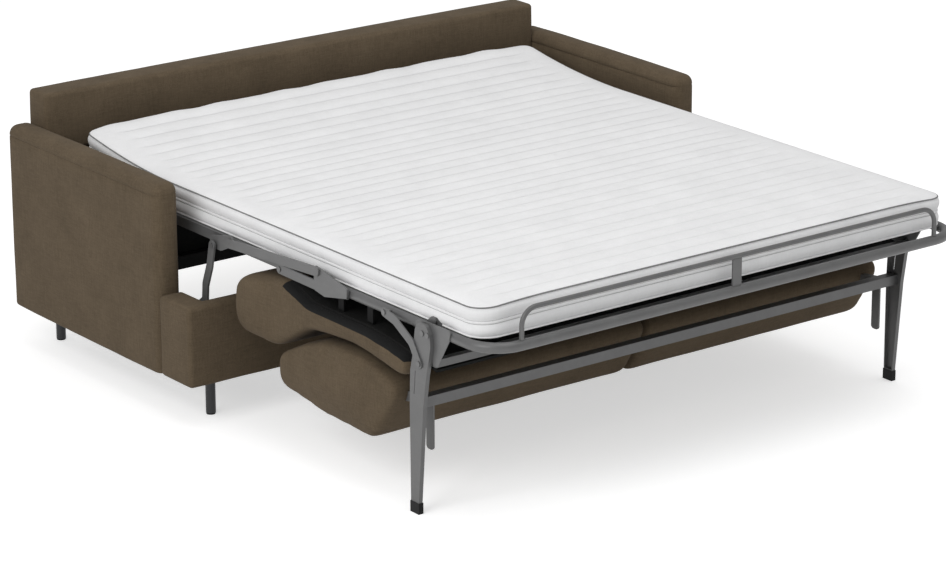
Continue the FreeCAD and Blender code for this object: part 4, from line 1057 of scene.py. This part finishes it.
def mattress():
    whole = quilted_top()
    under = flat_underside(whole)
    hang_border(whole)
    only(whole)
    under.select_set(True)
    bpy.ops.object.join()
    to_edit(whole)
    weld(WELD)
    face_outward()
    leave_edit()
    for i, (section, body) in enumerate(SECTIONS):
        piece = copy_object(whole, "mattress_quilt_" + section)
        to_edit(piece)
        if i > 0:
            cut_away(SEAMS[i], clear_outer=True)
        if i < len(SECTIONS) - 1:
            cut_away(SEAMS[i + 1], clear_inner=True)
        leave_edit()
        soften(piece, MATTRESS_SHADE_ANGLE)
        dress(piece, body, "mattress_quilt", "mattress_" + section, fill=0.8)
        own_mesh(piece)
    bpy.data.objects.remove(whole)


mattress()


# Camera, worked out in the photograph's pixels, with its lights and paper floor.

PHOTO_WIDE = 946
PHOTO_HIGH = 586
FOCAL_PIXELS = 3708.0
AXIS_ACROSS = 506.3
AXIS_DOWN = 268.0
SENSOR = 36
CAMERA_PLACE = (-6.0719, -7.9099, 3.5420)
LOOK_DOWN = 18.0
TURNED = -37.7
FAR_CLIP = 100

# Name, place, target, watts and the side of each square lamp.
LAMPS = (
    ("key_softbox", (-5.6, -1.6, 4.2), (0, -0.3, 0.4), 142, 3.5),
    ("top_softbox", (0.3, -1.2, 5.5), (0, -0.2, 0.3), 84, 4.5),
)

# The white room lights the sofa with less than it shows, and the paper floor glows a little to
# the camera, so that its shadow stays pale and its rim white.
ROOM_SEEN = 1.0
ROOM_LIGHT = 0.55
FLOOR_SIDE = 60
FLOOR_TONE = 0.9
FLOOR_SEEN = 0.76
FLOOR_GLOW = 0.56
FLOOR_ROUGHNESS = 0.9
FLOOR_GLOSS = 0.1


def camera():
    scene = bpy.context.scene
    data = bpy.data.cameras.new("camera")
    obj = add_object("camera", data)
    obj.location = CAMERA_PLACE
    obj.rotation_euler = (math.radians(90 - LOOK_DOWN), 0, math.radians(TURNED))
    data.sensor_width = SENSOR
    data.lens = FOCAL_PIXELS * SENSOR / PHOTO_WIDE
    data.shift_x = (PHOTO_WIDE / 2 - AXIS_ACROSS) / PHOTO_WIDE
    data.shift_y = (AXIS_DOWN - PHOTO_HIGH / 2) / PHOTO_WIDE
    data.clip_end = FAR_CLIP
    scene.camera = obj
    scene.view_settings.view_transform = "Standard"


def either_ray(tree, first, second):
    """One for the two kinds of ray that are named, and nought for all others."""
    path = tree.nodes.new("ShaderNodeLightPath")
    return math_node(tree, "MAXIMUM", path.outputs[first], path.outputs[second])


def lights():
    world = bpy.data.worlds.new("studio")
    bpy.context.scene.world = world
    world.use_nodes = True
    tree = world.node_tree
    background = tree.nodes["Background"]
    background.inputs["Color"].default_value = (1, 1, 1, 1)
    seen = either_ray(tree, "Is Camera Ray", "Is Transmission Ray")
    level = scaled(tree, seen, ROOM_SEEN - ROOM_LIGHT, ROOM_LIGHT)
    tree.links.new(level, background.inputs["Strength"])

    for name, place, target, watts, side in LAMPS:
        light = bpy.data.lights.new(name, "AREA")
        light.shape = "SQUARE"
        light.size = side
        light.energy = watts
        obj = add_object(name, light)
        obj.location = place
        toward = Vector(target) - Vector(place)
        obj.rotation_euler = toward.to_track_quat("-Z", "Y").to_euler()


def paper_floor():
    bpy.ops.object.select_all(action="DESELECT")
    bpy.ops.mesh.primitive_plane_add(size=FLOOR_SIDE, location=(0, 0, FLOOR))
    ground = bpy.context.active_object
    ground.name = "studio_floor"
    material = bpy.data.materials.new("studio_paper")
    material.use_nodes = True
    tree = material.node_tree
    shader = tree.nodes["Principled BSDF"]
    shader.inputs["Roughness"].default_value = FLOOR_ROUGHNESS
    shader.inputs["Specular IOR Level"].default_value = FLOOR_GLOSS
    shader.inputs["Emission Color"].default_value = (1, 1, 1, 1)
    seen = either_ray(tree, "Is Camera Ray", "Is Glossy Ray")
    glow = math_node(tree, "MULTIPLY", seen, FLOOR_GLOW)
    tree.links.new(glow, shader.inputs["Emission Strength"])
    paper = node(tree, "ShaderNodeMixRGB",
                 Color1=(*grey(FLOOR_TONE), 1), Color2=(*grey(FLOOR_SEEN), 1))
    tree.links.new(seen, paper.inputs["Fac"])
    tree.links.new(paper.outputs["Color"], shader.inputs["Base Color"])
    give(ground, material)


camera()
lights()
paper_floor()
